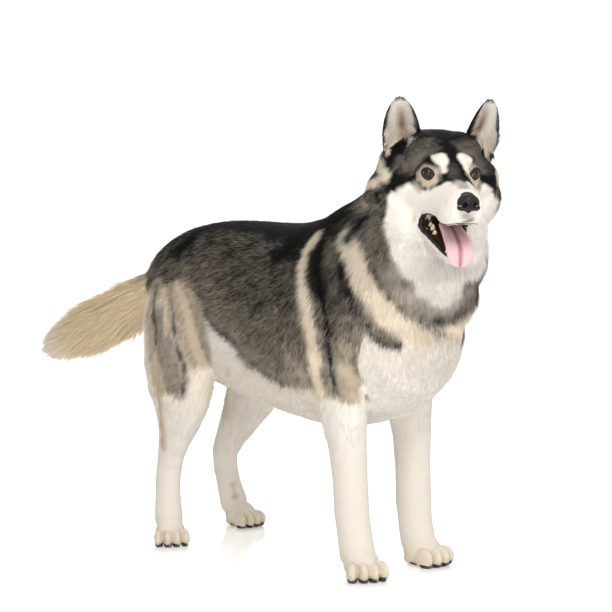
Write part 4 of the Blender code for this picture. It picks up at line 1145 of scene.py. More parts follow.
for row in (
    # muzzle and mouth
    (0.1, 0.01, -0.016, (-1.0, 0.05, 0.15), 0.0034, 0.18, 0.0008),
    (0.07, 0.012, -0.006, (-1.0, 0.1, 0.1), 0.0042, 0.18, 0.0008),
    (0.045, 0.012, 0.0, (-1.0, 0.1, 0.15), 0.0049, 0.18, 0.0008),
    (0.08, 0.032, -0.05, (-1.0, 0.15, -0.3), 0.0046, 0.2, 0.0008),
    (0.045, 0.038, -0.045, (-1.0, 0.2, -0.3), 0.0053, 0.2, 0.0008),
    (0.045, 0.036, -0.07, (-1.0, 0.15, -0.5), 0.0061, 0.22, 0.0008),
    (0.102, 0.012, -0.06, (-0.4, 0.8, -0.6), 0.0034, 0.2, 0.0008),
    (0.06, 0.02, -0.15, (-0.8, 0.1, -0.6), 0.0092, 0.27, 0.0009),
    (0.02, 0.03, -0.15, (-0.8, 0.2, -0.6), 0.0153, 0.32, 0.001),
    # eyes and forehead
    (0.018, 0.012, 0.014, (-0.85, 0.15, 0.5), 0.005, 0.2, 0.0008),
    (-0.005, 0.01, 0.036, (-0.75, 0.1, 0.65), 0.0065, 0.22, 0.0009),
    (-0.01, 0.035, 0.024, (-0.7, 0.4, 0.55), 0.0061, 0.22, 0.0008),
    (0.02, 0.036, -0.016, (-0.85, 0.5, -0.35), 0.005, 0.2, 0.0008),
    (-0.016, 0.054, 0.0, (-0.95, 0.4, -0.1), 0.0065, 0.22, 0.0009),
    (-0.03, 0.03, 0.052, (-0.9, 0.15, 0.35), 0.0086, 0.25, 0.0009),
    (-0.065, 0.015, 0.063, (-1.0, 0.05, 0.0), 0.0122, 0.29, 0.001),
    (-0.05, 0.065, 0.025, (-0.9, 0.25, -0.3), 0.0108, 0.27, 0.0009),
    # cheeks
    (0.005, 0.05, -0.04, (-0.9, 0.4, -0.3), 0.0064, 0.24, 0.0008),
    (-0.025, 0.065, -0.05, (-0.8, 0.4, -0.5), 0.0105, 0.29, 0.0008),
    (-0.06, 0.092, -0.045, (-0.7, 0.25, -0.7), 0.0163, 0.36, 0.001),
    (-0.085, 0.1, -0.08, (-0.55, 0.2, -0.85), 0.0244, 0.4, 0.0012),
    (-0.05, 0.075, -0.095, (-0.6, 0.2, -0.8), 0.0174, 0.35, 0.0011),
    (-0.09, 0.085, 0.0, (-0.75, 0.2, -0.65), 0.0151, 0.35, 0.001),
    (-0.13, 0.08, -0.04, (-0.6, 0.15, -0.8), 0.0263, 0.4, 0.0012),
    # throat and nape
    (-0.03, 0.03, -0.16, (-0.6, 0.2, -0.8), 0.0208, 0.4, 0.001),
    (-0.08, 0.04, -0.185, (-0.4, 0.2, -0.9), 0.026, 0.4, 0.0012),
    (-0.13, 0.02, 0.045, (-0.9, 0.05, -0.5), 0.0208, 0.4, 0.001),
    (-0.15, 0.04, 0.0, (-0.7, 0.1, -0.75), 0.026, 0.44, 0.0012),
):
    COMBS += head_pair(*row)
COMB_PLACES = np.array([comb.place for comb in COMBS])
COMB_LIES = np.array([comb.lie.normalized() for comb in COMBS])
COMB_SIZES = np.array([(comb.length, comb.lift, comb.width) for comb in COMBS])
print(len(COMBS), "combs")


def combed(places):
    """Lie and sizes at many places, as means of the combs weighted by nearness."""
    lies = np.empty((len(places), 3))
    sizes = np.empty((len(places), 3))
    for start in range(0, len(places), 20000):
        part = slice(start, start + 20000)
        apart = ((places[part, None, :] - COMB_PLACES[None, :, :]) ** 2).sum(axis=2)
        weight = 1.0 / (apart + 0.0002) ** 2
        weight /= weight.sum(axis=1, keepdims=True)
        lies[part] = weight @ COMB_LIES
        sizes[part] = weight @ COMB_SIZES
    return lies, sizes


# %% [markdown]
# Markings are strokes of a brush on the skin. Each is a tone, a few picture places that the camera's
# rays carry onto the skin, a half width and a softness. The far side gets the same stroke mirrored, so
# both flanks match as they do on the animal, unless the stroke is for the near side alone. Nothing is
# projected from the camera: a stroke is a line in space, and the coat beside it takes its tone.

# %% Tones and rays
Tone = namedtuple("Tone", "dark agouti warm rust")
WHITE = Tone(0.0, 0.0, 0.1, 0.0)
IVORY = Tone(0.0, 0.0, 0.28, 0.0)
CREAM = Tone(0.0, 0.04, 0.6, 0.0)
YELLOW = Tone(0.0, 0.02, 0.95, 0.04)
AGOUTI = Tone(0.34, 1.0, 0.5, 0.03)
DARK_AGOUTI = Tone(0.66, 1.0, 0.45, 0.03)
PALE_AGOUTI = Tone(0.08, 0.62, 0.7, 0.03)
BRIDGE = Tone(0.93, 0.45, 0.15, 0.0)
SLATE = Tone(0.84, 0.5, 0.2, 0.0)
BLACK = Tone(1.0, 0.0, 0.05, 0.0)
COLLAR = Tone(0.14, 0.66, 0.3, 0.0)
SMOKE = Tone(0.22, 0.6, 0.25, 0.0)
FOREHEAD = Tone(0.72, 0.9, 0.4, 0.03)
EYE_RING = Tone(0.0, 0.28, 0.8, 0.12)
TAN = Tone(0.02, 0.25, 0.8, 0.3)
RUST = Tone(0.05, 0.3, 0.6, 0.9)
LEG = Tone(0.05, 0.14, 0.16, 0.0)
BREECH = Tone(0.0, 0.25, 0.75, 0.04)
EAR_WHITE = Tone(0.0, 0.0, 0.22, 0.0)
# red-brown hair of the inner ear, with added darkness as painted shade deep in the cup
EAR_RUST_AND_SHADE = Tone(0.3, 0.35, 0.6, 0.95)

graph = bpy.context.evaluated_depsgraph_get()
graph.update()
SKIN_TREE = BVHTree.FromObject(skin, graph)
EYE_OF_CAMERA = CAMERA_PLACE - PLAN_TO_FRAME


def seen(pixel_x, pixel_y):
    """The place on the skin that the camera sees at a point of the picture, or the nearest to it."""
    ray = Vector((pixel_x - PICTURE / 2, PICTURE / 2 - pixel_y, -FOCAL_PIXELS)).normalized()
    ray = CAMERA_TURN @ ray
    hit = SKIN_TREE.ray_cast(EYE_OF_CAMERA, ray)[0]
    if hit is None:
        reach = 3.35
        hit = SKIN_TREE.find_nearest(EYE_OF_CAMERA + ray * reach)[0]
    return hit


def mirror_body(place):
    """The same place on the other side of the body's middle plane."""
    return Vector((place[0], -place[1], place[2]))


def mirror_head(place):
    """The same place on the other side of the turned head."""
    local = HEAD_BACK @ place
    return HEAD @ Vector((local[0], -local[1], local[2]))


def line_distance(places, line):
    """Distance from each place to a line of points."""
    best = np.full(len(places), 1e9)
    points = [np.array(point) for point in line]
    if len(points) == 1:
        return np.linalg.norm(places - points[0], axis=1)
    for first, second in zip(points, points[1:]):
        span = second - first
        share = np.clip((places - first) @ span / max(span @ span, 1e-12), 0.0, 1.0)
        best = np.minimum(best, np.linalg.norm(places - first - share[:, None] * span, axis=1))
    return best


def ripple(places, scale, seed):
    """A soft wandering value between about -1 and 1, of a few crossed waves."""
    draw = np.random.default_rng(seed)
    total = np.zeros(len(places))
    for octave in range(5):
        aim = draw.normal(size=3)
        aim /= np.linalg.norm(aim)
        total += np.sin(places @ aim * (scale * (1 + 0.45 * octave)) + draw.uniform(0, 6.28))
    return total / 2.6


# The edge of the dark coat on the right side, as the camera sees it, from the rump to the breast.
BLANKET_EDGE = (
    (156, 292), (172, 300), (190, 306), (206, 318), (216, 332), (234, 343), (246, 362), (264, 373),
    (284, 386), (304, 386), (332, 397), (354, 402), (358, 360), (364, 334), (380, 343), (400, 348),
    (425, 343), (450, 335), (466, 318),
)
Stroke = namedtuple("Stroke", "name tone pixels half soft strength where", defaults=(1.0, "body"))
STROKES = (
    Stroke("dark flank", SLATE, ((232, 290), (250, 296), (256, 312)), 0.014, 0.018, 0.7),
    Stroke("light flank", AGOUTI, ((192, 268), (226, 266)), 0.012, 0.02, 0.6),
    Stroke("flank fade", PALE_AGOUTI, ((288, 356), (296, 368), (306, 384)), 0.01, 0.012, 0.8),
    Stroke("saddle", BLACK, (
        (340, 216), (318, 229), (296, 236), (270, 228), (240, 224), (205, 228), (186, 243), (170, 264),
    ), 0.03, 0.022),
    Stroke("rump", DARK_AGOUTI, ((168, 268), (176, 280), (184, 290)), 0.018, 0.012),
    Stroke("shoulder wedge", BLACK, ((300, 240), (288, 250), (274, 258)), 0.022, 0.016),
    Stroke("low flank edge", BLACK, ((206, 314), (213, 327), (232, 340), (241, 354)), 0.006, 0.008, 0.8),
    Stroke("low flank shade", SLATE, ((246, 360), (262, 371), (280, 384)), 0.005, 0.01, 0.6),
    Stroke("stripe behind shoulder", CREAM, (
        (319, 238), (309, 252), (304, 266), (303, 282), (305, 300), (309, 322), (314, 345), (315, 370),
        (320, 396),
    ), 0.0135, 0.008),
    Stroke("shoulder line", BLACK, (
        (334, 234), (326, 243), (319, 258), (319, 276), (322, 292), (325, 312), (328, 334), (330, 356),
        (333, 376), (338, 394),
    ), 0.0072, 0.005),
    Stroke("shoulder grey", AGOUTI, (
        (334, 246), (333, 262), (336, 280), (341, 300), (346, 320), (345, 340),
    ), 0.017, 0.007),
    Stroke("shoulder grey low", PALE_AGOUTI, ((345, 350), (346, 370), (351, 392)), 0.017, 0.01),
    Stroke("shoulder slate", SLATE, ((343, 292), (349, 308), (352, 322)), 0.009, 0.01, 0.8),
    Stroke("shoulder line again", BLACK, (
        (326, 243), (319, 258), (319, 276), (322, 292), (325, 312), (328, 334),
    ), 0.0055, 0.004),
    Stroke("shoulder cream band", CREAM, (
        (349, 236), (356, 254), (361, 272), (368, 288), (378, 304), (392, 318), (406, 329), (424, 338),
    ), 0.0195, 0.008),
    Stroke("line under the band", SLATE, (
        (342, 272), (347, 286), (353, 300), (359, 314), (367, 327), (378, 338), (390, 345), (400, 346),
    ), 0.005, 0.005),
    Stroke("bib", WHITE, ((420, 262), (440, 276), (458, 268), (472, 252)), 0.026, 0.008),
    Stroke("collar", COLLAR, (
        (366, 206), (372, 228), (381, 246), (389, 264), (395, 282), (408, 298), (430, 309), (452, 308),
        (470, 294),
    ), 0.02, 0.01),
    Stroke("collar top", AGOUTI, ((362, 200), (366, 216), (376, 236), (384, 252)), 0.018, 0.012, 0.9),
    Stroke("collar front", SLATE, ((440, 320), (454, 318), (466, 304), (477, 288)), 0.008, 0.012, 0.75),
    Stroke("far side of the bib", WHITE, (
        (492, 214), (488, 230), (484, 246), (476, 264),
    ), 0.028, 0.006, 1.0, "near"),
    Stroke("nape", BLACK, ((322, 220), (340, 209), (354, 198)), 0.012, 0.012),
    Stroke("rear of the thigh", PALE_AGOUTI, (
        (156, 290), (152, 312), (153, 340), (157, 366), (160, 385),
    ), 0.022, 0.01, 0.85),
    Stroke("thigh", PALE_AGOUTI, ((176, 298), (188, 314), (196, 330), (196, 348)), 0.036, 0.009),
    Stroke("breech smoke", AGOUTI, ((160, 318), (164, 344), (170, 364), (175, 384)), 0.024, 0.01, 0.8),
    Stroke("breech line rear", SLATE, ((157, 286), (154, 302), (155, 322), (157, 342)), 0.005, 0.005),
    Stroke("breech stripe", BREECH, ((164, 290), (166, 308), (167, 332)), 0.007, 0.004),
    Stroke("breech line front", BLACK, (
        (170, 292), (173, 312), (175, 334), (178, 352), (184, 364), (186, 378), (183, 394),
    ), 0.0038, 0.004, 0.9),
    Stroke("hock rust", RUST, ((158, 380), (160, 402), (162, 426), (163, 446)), 0.006, 0.01, 0.6),
    Stroke("hock spot", RUST, ((233, 486), (236, 496)), 0.005, 0.007, 0.5, "near"),
    Stroke("groin spot", SMOKE, ((229, 366), (229, 374)), 0.003, 0.006, 0.6),
    Stroke("chest spot", SMOKE, ((457, 340),), 0.003, 0.005, 0.7, "near"),
)
print(len(STROKES), "strokes on the body")

# %% Head strokes
HEAD_STROKES = (
    Stroke("forehead", FOREHEAD, (
        (431, 144), (420, 149), (410, 157), (403, 165),
    ), 0.011, 0.015, 0.9, "head"),
    Stroke("above the eye", FOREHEAD, ((428, 154), (420, 159), (412, 167)), 0.008, 0.007, 0.9, "head"),
    Stroke("between the brows", BLACK, ((451, 129), (451, 148), (453, 165)), 0.008, 0.005, 1.0, "near"),
    Stroke("bridge", BRIDGE, ((454, 168), (457, 178), (460, 183)), 0.008, 0.006, 1.0, "head"),
    Stroke("below the eye", WHITE, (
        (414, 197), (430, 196), (439, 191), (446, 186),
    ), 0.0105, 0.004, 1.0, "head"),
    Stroke("beside the lips", WHITE, (
        (424, 216), (422, 228), (430, 242), (442, 258),
    ), 0.015, 0.004, 1.0, "head"),
    Stroke("tan below the ear", CREAM, (
        (388, 152), (380, 163), (374, 174), (368, 186),
    ), 0.009, 0.005, 0.95, "head"),
    Stroke("white throat", WHITE, (
        (0.08, 0.0, -0.105), (0.02, 0.0, -0.13), (-0.03, 0.0, -0.165),
    ), 0.05, 0.012, 1.0, "head"),
    Stroke("white cheek", WHITE, (
        (440, 210), (424, 208), (411, 198), (401, 203), (399, 224), (404, 246), (416, 266), (436, 276),
    ), 0.023, 0.004, 1.0, "head"),
    Stroke("white muzzle", WHITE, ((450, 194), (440, 198), (452, 208)), 0.018, 0.004, 1.0, "head"),
    Stroke("white snout", WHITE, (
        (0.105, 0.0, -0.055), (0.085, 0.0, -0.04), (0.06, 0.0, -0.045),
    ), 0.034, 0.006, 1.0, "head"),
    Stroke("cheek rim", AGOUTI, (
        (375, 206), (375, 218), (378, 230), (386, 246),
    ), 0.008, 0.007, 0.9, "head"),
    Stroke("low bridge", SMOKE, ((460, 182), (464, 187)), 0.005, 0.007, 0.9, "head"),
    Stroke("eye ring", EYE_RING, ((427, 176), (430, 178)), 0.0172, 0.007, 0.95, "head"),
    Stroke("brow", IVORY, ((437, 158), (442, 159)), 0.0102, 0.003, 1.0, "near"),
    Stroke("brow tail", IVORY, ((444, 163), (444, 171)), 0.0055, 0.004, 1.0, "near"),
    Stroke("far brow", IVORY, ((463, 157), (467, 161)), 0.009, 0.003, 1.0, "near"),
    Stroke("far brow tail", IVORY, ((467, 164), (467, 171)), 0.005, 0.004, 1.0, "near"),
    Stroke("inner corner", SLATE, ((439, 176), (441, 181)), 0.003, 0.004, 0.8, "head"),
    Stroke("lower eye smudge", SMOKE, ((415, 184), (419, 190)), 0.0045, 0.005, 1.0, "head"),
    # painted shade under the nose, laid on the white of the muzzle
    Stroke("painted shade under the nose", SLATE, ((466, 216), (470, 219)), 0.006, 0.007, 0.6, "near"),
    # the dark lip itself, with painted shade in the gap beside it
    Stroke("dark lip with painted shade", BLACK, ((458, 224), (465, 222), (472, 219)), 0.0028, 0.004, 0.75, "near"),
    Stroke("far cheek", WHITE, ((494, 220), (492, 232), (489, 246)), 0.018, 0.006, 1.0, "near"),
)


def stroke_place(mark):
    """A picture place carried onto the skin, or a place given in the head's frame."""
    return seen(*mark) if len(mark) == 2 else HEAD @ Vector(mark)


def stroke_lines(stroke):
    """The stroke on the side that the camera sees, and its mirror image."""
    near = [stroke_place(mark) for mark in stroke.pixels]
    if stroke.where == "near":
        return [near]
    mirror = mirror_head if stroke.where == "head" else mirror_body
    return [near, [mirror(place) for place in near]]


PAINTED = [(stroke, stroke_lines(stroke)) for stroke in STROKES]
HEAD_PAINTED = [(stroke, stroke_lines(stroke)) for stroke in HEAD_STROKES]
EDGE = sorted((place.x, place.z) for place in (seen(*mark) for mark in BLANKET_EDGE))
CROWN = ((-0.1, 0.0, -0.01), (-0.05, 0.0, 0.0), (0.0, 0.0, 0.0), (0.04, 0.0, 0.0))
CROWN_LINE = [HEAD @ Vector(place) for place in CROWN]
BACK_TOP = 0.58
TAIL_LINE = [Vector(row[:3]) for row in TAIL]


def soft_cover(distance, half, soft):
    """Full inside the half width, none outside it, and a soft step between."""
    share = np.clip((half + soft - distance) / (2 * soft), 0.0, 1.0)
    return share * share * (3 - 2 * share)


def toe_crease_stain_and_shade(places):
    """Cover of the dark lines between the toes: a brownish stain, with painted shade in the creases."""
    cover = np.zeros(len(places))
    for name in PAWS:
        back = paw_frame(name).inverted()
        local = places @ np.array(back.to_3x3()).T + np.array(back.translation)
        on_toes = (local[:, 0] > 0.008) * (local[:, 0] < 0.06) * (local[:, 2] < 0.032)
        for gap in (-1, 0, 1):
            line = soft_cover(np.abs(local[:, 1] - gap * TOE_PITCH), 0.0012, 0.0012)
            cover = np.maximum(cover, line * on_toes)
    return cover


def lay(tones, cover, tone):
    """Mixes a tone into many places, each by its own cover."""
    tones += (np.array(tone) - tones) * cover[:, None]


def brush(tones, places, painted, wander):
    """Lays strokes with edges that wander a little."""
    for stroke, lines in painted:
        for line in lines:
            distance = line_distance(places, line) + wander * stroke.soft
            lay(tones, soft_cover(distance, stroke.half, stroke.soft) * stroke.strength, stroke.tone)


# %% Light ground of belly, breast, tail and legs
TAIL_ROOT = [(-0.2, 0.0, 0.5), (-0.27, 0.0, 0.47)]


def paint_ground(tones, places):
    x, z = places[:, 0], places[:, 2]
    belly = soft_cover(np.abs(z - 0.3), 0.05, 0.03) * (np.abs(x) < 0.35)
    lay(tones, belly * 0.5, CREAM)
    breast = soft_cover(np.abs(z - 0.42), 0.1, 0.05) * (x > 0.35)
    lay(tones, breast * 0.8, IVORY)
    tail = soft_cover(line_distance(places, TAIL_LINE[1:]), 0.06, 0.02) * (x < -0.215)
    lay(tones, tail, YELLOW)
    lay(tones, soft_cover(x, -0.5, 0.05) * 0.7, IVORY)
    lay(tones, soft_cover(line_distance(places, TAIL_ROOT), 0.02, 0.02) * 0.8, AGOUTI)
    lay(tones, soft_cover(z, 0.24, 0.06) * 0.8, LEG)
    rear = soft_cover(x, -0.135, 0.03) * (z > 0.2) * (x > -0.215)
    lay(tones, rear * 0.75, BREECH)
    lay(tones, soft_cover(z, 0.03, 0.015) * 0.7, CREAM)
    # tan lines between the toes: a brownish stain and painted shade in the creases
    lay(tones, toe_crease_stain_and_shade(places) * 0.55, TAN)


# %% Dark coat of the back and the crown


def paint_blanket(tones, places, wander):
    """Agouti above the edge, darker with height and black along the back."""
    x, z = places[:, 0], places[:, 2]
    edge = np.interp(x, [mark[0] for mark in EDGE], [mark[1] for mark in EDGE]) + wander * 0.008
    blanket = soft_cover(edge - z, 0.0, 0.008) * (x > -0.225)
    rise = (z - edge) / (BACK_TOP - edge)
    lay(tones, blanket, AGOUTI)
    low_flank = soft_cover(rise - 0.1, 0.0, 0.14) * soft_cover(0.06 - x, 0.0, 0.05)
    lay(tones, blanket * low_flank * 0.5, PALE_AGOUTI)
    lay(tones, blanket * soft_cover(0.42 - rise, 0.0, 0.24), DARK_AGOUTI)
    lay(tones, blanket * soft_cover(0.9 - rise, 0.0, 0.16) * soft_cover(x, 0.34, 0.03), BLACK)


def paint_crown(tones, places, wander):
    """Black over the top and sides of the head, down to a level below the eyes."""
    near = soft_cover(line_distance(places, CROWN_LINE) + wander * 0.006, 0.1, 0.008)
    height = places @ np.array(HEAD_BACK.to_3x3())[2] + HEAD_BACK.translation[2]
    lay(tones, near * soft_cover(-0.05 - height, 0.0, 0.01), BLACK)


def paint(places):
    """Markings at many places: columns of dark, agouti, warm and rust."""
    tones = np.tile(np.array(WHITE), (len(places), 1))
    wander = ripple(places, 90.0, 3) * 0.3 + ripple(places, 260.0, 4) * 0.3
    paint_ground(tones, places)
    paint_blanket(tones, places, wander)
    brush(tones, places, PAINTED, wander)
    paint_crown(tones, places, wander)
    brush(tones, places, HEAD_PAINTED, wander)
    return tones


# %% [markdown]
# An ear is black outside and cream inside, with a red-brown streak, darker as painted shade where the
# cup is deepest. The side of the cup that a place lies on is told by its normal: inside the cup it points
# back to the middle.

# %% Markings of the ears
EAR_FOLD = [seen(*mark) for mark in ((408, 140), (414, 136), (421, 132))]


def to_head(places):
    """Many places in the head's own frame."""
    return places @ np.array(HEAD_BACK.to_3x3()).T + np.array(HEAD_BACK.translation)


def inside_cup(offset, facing, up, face):
    """1 where a place of the ear faces the middle of the cup, 0 on the outside."""
    level = np.clip(offset @ up / EAR_HEIGHT, 0.0, 1.0)[:, None]
    outward = offset - level * up * EAR_HEIGHT + 0.006 * level**2 * face
    outward -= (outward @ up)[:, None] * up
    outward /= np.maximum(np.linalg.norm(outward, axis=1, keepdims=True), 1e-6)
    return np.clip(0.95 - 4.0 * (facing * outward).sum(axis=1), 0.0, 1.0)


def ear_tones(offset, facing, side):
    """Tones of one ear's places, given from its foot."""
    up, face, across = (np.array(axis) for axis in ear_axes(side))
    level = offset @ up / EAR_HEIGHT
    out = np.abs(offset @ across) / EAR_HALF_WIDTH
    inner = inside_cup(offset, facing, up, face)
    half_there = np.sqrt(np.clip(1.02 - np.clip(level, 0, 1) ** 2, 0.02, 1.0))
    rim = np.clip((out / half_there - 0.92) / 0.06, 0.0, 1.0)
    middle = np.exp(-((out / 0.36) ** 2)) * np.clip(1.25 - level * 1.5, 0.0, 1.0)
    foot = np.clip((0.16 - level) / 0.15, 0.0, 1.0)
    tip = np.clip((level - 0.9) / 0.06, 0.0, 1.0)
    tones = np.tile(np.array(BLACK), (len(offset), 1))
    lay(tones, inner, EAR_WHITE)
    # the deep lower middle of the cup: red-brown hair, darkened there as painted shade
    lay(tones, middle * inner * 0.9, EAR_RUST_AND_SHADE)
    lay(tones, rim * 0.85 * (level > 0.25), BLACK)
    lay(tones, foot * inner * 0.6, CREAM)
    lay(tones, tip * 0.8, BLACK)
    return tones


def paint_ears(places, normals):
    local = to_head(places)
    facing = normals @ np.array(HEAD_BACK.to_3x3()).T
    tones = np.zeros((len(places), 4))
    for side in (-1, 1):
        mine = local[:, 1] * side > 0
        tones[mine] = ear_tones(local - np.array(EAR_FEET[side]), facing, side)[mine]
    for line in (EAR_FOLD, [mirror_head(place) for place in EAR_FOLD]):
        lay(tones, soft_cover(line_distance(places, line), 0.0095, 0.003), BLACK)
    return tones


# %% [markdown]
# Each tuft needs to know whose it is. The body's parts each have a line through their middle, and a
# place belongs to the part whose line is nearest for its thickness. The same line unwraps the skin: the
# turn round it and the way along it are the two directions of the OFBake map.

# %% Parts of the body
Part = namedtuple("Part", "name line radii slot tufts joints lean")


def part_line(rows):
    return [Vector(row[:3]) for row in rows]


def limb_part(name, slot, tufts):
    rows = LEGS[name]
    place, toes, scale = PAWS[name]
    tip = place + Vector((math.cos(toes), math.sin(toes), 0.0)) * 0.04 * scale + Vector((0, 0, 0.015))
    line = part_line(rows)[1:] + [tip]
    radii = [max(row[3], row[4]) for row in rows][1:] + [0.03]
    return Part(name, line, radii, slot, tufts, 1, 0.12)


def ear_part(side, tufts):
    up, face, _ = ear_axes(side)
    foot = EAR_FEET[side]
    line = [HEAD @ (foot + up * EAR_HEIGHT * level - face * 0.004) for level in (0.1, 0.5, 1.0)]
    return Part("ear_left" if side > 0 else "ear_right", line, [0.03, 0.03, 0.022], "ears", tufts, 1, 0.1)


TRUNK_LINE = [Vector((row[0], 0.0, (row[1] + row[2]) / 2)) for row in TRUNK]
SKULL = ((-0.1, 0.0, -0.05), (-0.03, 0.0, -0.03), (0.1, 0.0, -0.045))
HEAD_LINE = [HEAD @ Vector(place) for place in SKULL]
PARTS = (
    Part("trunk", TRUNK_LINE[1:-1], [row[3] for row in TRUNK][1:-1], "coat_torso", 88000, 1, 0.13),
    Part("neck", part_line(NECK)[1:-1], [row[4] for row in NECK][1:-1], "coat_neck", 66000, 1, 0.12),
    Part("head", HEAD_LINE, [0.105, 0.085, 0.05], "coat_head", 70000, 1, 0.08),
    Part("tail", part_line(TAIL)[2:], [0.05] * (len(TAIL) - 2), "coat_tail", 11500, 3, 0.3),
    limb_part("front_right", "legs", 15000),
    limb_part("front_left", "legs", 15000),
    limb_part("hind_right", "coat_thighs", 20000),
    limb_part("hind_left", "coat_thighs", 20000),
    ear_part(-1, 9000),
    ear_part(1, 9000),
)
print("parts", [part.name for part in PARTS])


def part_shares(places):
    """For each place and part: distance to the part's line over the part's thickness there."""
    shares = np.full((len(places), len(PARTS)), 1e9)
    for column, part in enumerate(PARTS):
        for step in range(len(part.line) - 1):
            first, second = np.array(part.line[step]), np.array(part.line[step + 1])
            span = second - first
            along = np.clip((places - first) @ span / (span @ span), 0.0, 1.0)
            radius = part.radii[step] * (1 - along) + part.radii[step + 1] * along
            apart = np.linalg.norm(places - first - along[:, None] * span, axis=1) / radius
            shares[:, column] = np.minimum(shares[:, column], apart)
    return shares


def unwrap(places, part):
    """OFBake place of each root: its turn round the part's line and its way along it."""
    points = np.array(part.line)
    spans = np.diff(points, axis=0)
    lengths = np.linalg.norm(spans, axis=1)
    starts = np.concatenate([[0.0], np.cumsum(lengths)])
    best = np.full(len(places), 1e9)
    way = np.zeros(len(places))
    off = np.zeros((len(places), 3))
    last = len(spans) - 1
    for step, (first, span, length) in enumerate(zip(points, spans, lengths)):
        low = -10.0 if step == 0 else 0.0
        high = 10.0 if step == last else 1.0
        share = np.clip((places - first) @ span / length**2, low, high)
        apart = places - first - share[:, None] * span
        distance = np.linalg.norm(places - first - np.clip(share, 0, 1)[:, None] * span, axis=1)
        nearer = distance < best
        best[nearer] = distance[nearer]
        way[nearer] = (starts[step] + share * length)[nearer]
        off[nearer] = apart[nearer]
    axis = (points[-1] - points[0]) / np.linalg.norm(points[-1] - points[0])
    side = np.cross(axis, [0.0, 0.0, 1.0] if abs(axis[2]) < 0.8 else [1.0, 0.0, 0.0])
    side /= np.linalg.norm(side)
    rise = np.cross(side, axis)
    turn = np.arctan2(off @ side, off @ rise) / (2 * math.pi) + 0.5
    low, high = way.min(), way.max()
    along = (way - low) / max(high - low, 1e-9)
    return np.stack([0.01 + 0.975 * turn, 0.01 + 0.975 * along], axis=1)


# %% Corners and normals of the skin


def mesh_arrays(obj):
    """Places and normals of the corners of every triangle of a mesh."""
    mesh = obj.data
    mesh.calc_loop_triangles()
    corners = np.empty(len(mesh.vertices) * 3)
    mesh.vertices.foreach_get("co", corners)
    normals = np.empty(len(mesh.vertices) * 3)
    mesh.vertices.foreach_get("normal", normals)
    triangles = np.empty(len(mesh.loop_triangles) * 3, dtype=np.int32)
    mesh.loop_triangles.foreach_get("vertices", triangles)
    return corners.reshape(-1, 3), normals.reshape(-1, 3), triangles.reshape(-1, 3)


CORNERS, NORMALS, TRIANGLES = mesh_arrays(skin)
TRI_CORNERS = CORNERS[TRIANGLES]
TRI_MIDDLES = TRI_CORNERS.mean(axis=1)
TRI_AREAS = np.linalg.norm(
    np.cross(TRI_CORNERS[:, 1] - TRI_CORNERS[:, 0], TRI_CORNERS[:, 2] - TRI_CORNERS[:, 0]), axis=1
) / 2
TRI_PART = part_shares(TRI_MIDDLES).argmin(axis=1)
TRI_SIZES = combed(TRI_MIDDLES)[1]
print("skin area", round(float(TRI_AREAS.sum()), 3), "m2")

# %% [markdown]
# Tufts don't grow on the eyes, the nose, the lips, the tongue or in the mouth. The bare pieces are
# gathered in one search tree, and roots nearer to them than a hair's breadth are left out.

# %% Bare places
MOUTH_MARGIN = 0.0022
BARE_MARGIN = 0.0011
EYE_MARGIN = 0.0012


def tree_of_pieces(pieces):
    bm = bmesh.new()
    for piece in pieces:
        bm.from_mesh(piece.data)
    bmesh.ops.translate(bm, vec=-PLAN_TO_FRAME, verts=bm.verts)
    tree = BVHTree.FromBMesh(bm)
    bm.free()
    return tree


BARE_TREE = tree_of_pieces([nose, tongue, lips, lid_rims] + eyeballs + claws)


def in_mouth(place):
    """In the hollow of the upper jaw, or on the gum between the lower lips."""
    near, normal, _, distance = MOUTH_TREE.find_nearest(place)
    if distance < MOUTH_MARGIN or (place - near).dot(normal) < 0:
        return True
    low = JAW_BACK @ place
    top = 0.006 + 0.008 * max(0.03 - low.x, 0.0) / 0.03
    half = 0.0375 - 0.16 * max(low.x - 0.02, 0.0)
    return -0.012 < low.x < 0.118 and -0.004 < low.z < top and abs(low.y) < half


def is_bare(place, tip):
    if in_mouth(place) or BARE_TREE.find_nearest(place)[3] < BARE_MARGIN:
        return True
    eyes = [HEAD @ to_side(EYE_PLACE, side) for side in (1, -1)]
    return any((tip - eye).length < EYE_RADIUS + EYE_MARGIN for eye in eyes)


# %% [markdown]
# A tuft is a three-sided sliver that leaves the skin at its lift, bends over along the lie and ends in
# a point. Tufts near each other lean together into locks, which is what makes fur look like fur and not
# like grass. All the tufts of one part become one mesh, written from arrays, because an operator for
# each of a hundred thousand tufts would take hours.

# %% Roots of the tufts
LOCK_SIZE = 9  # tufts in a lock
RNG = np.random.default_rng(20)


def roots_of(column, count):
    """Random places on one part's skin, closer together where the hair is short."""
    chance = TRI_AREAS * (TRI_PART == column) * np.clip(0.03 / TRI_SIZES[:, 0], 0.6, 5.0) ** 1.1
    picked = RNG.choice(len(TRIANGLES), size=count, p=chance / chance.sum())
    first, second = RNG.random(count), RNG.random(count)
    flip = first + second > 1
    first[flip], second[flip] = 1 - first[flip], 1 - second[flip]
    shares = np.stack([1 - first - second, first, second], axis=1)
    places = (TRI_CORNERS[picked] * shares[:, :, None]).sum(axis=1)
    normals = (NORMALS[TRIANGLES[picked]] * shares[:, :, None]).sum(axis=1)
    normals /= np.linalg.norm(normals, axis=1, keepdims=True)
    return places, normals


def unit(vectors):
    return vectors / np.maximum(np.linalg.norm(vectors, axis=1, keepdims=True), 1e-9)


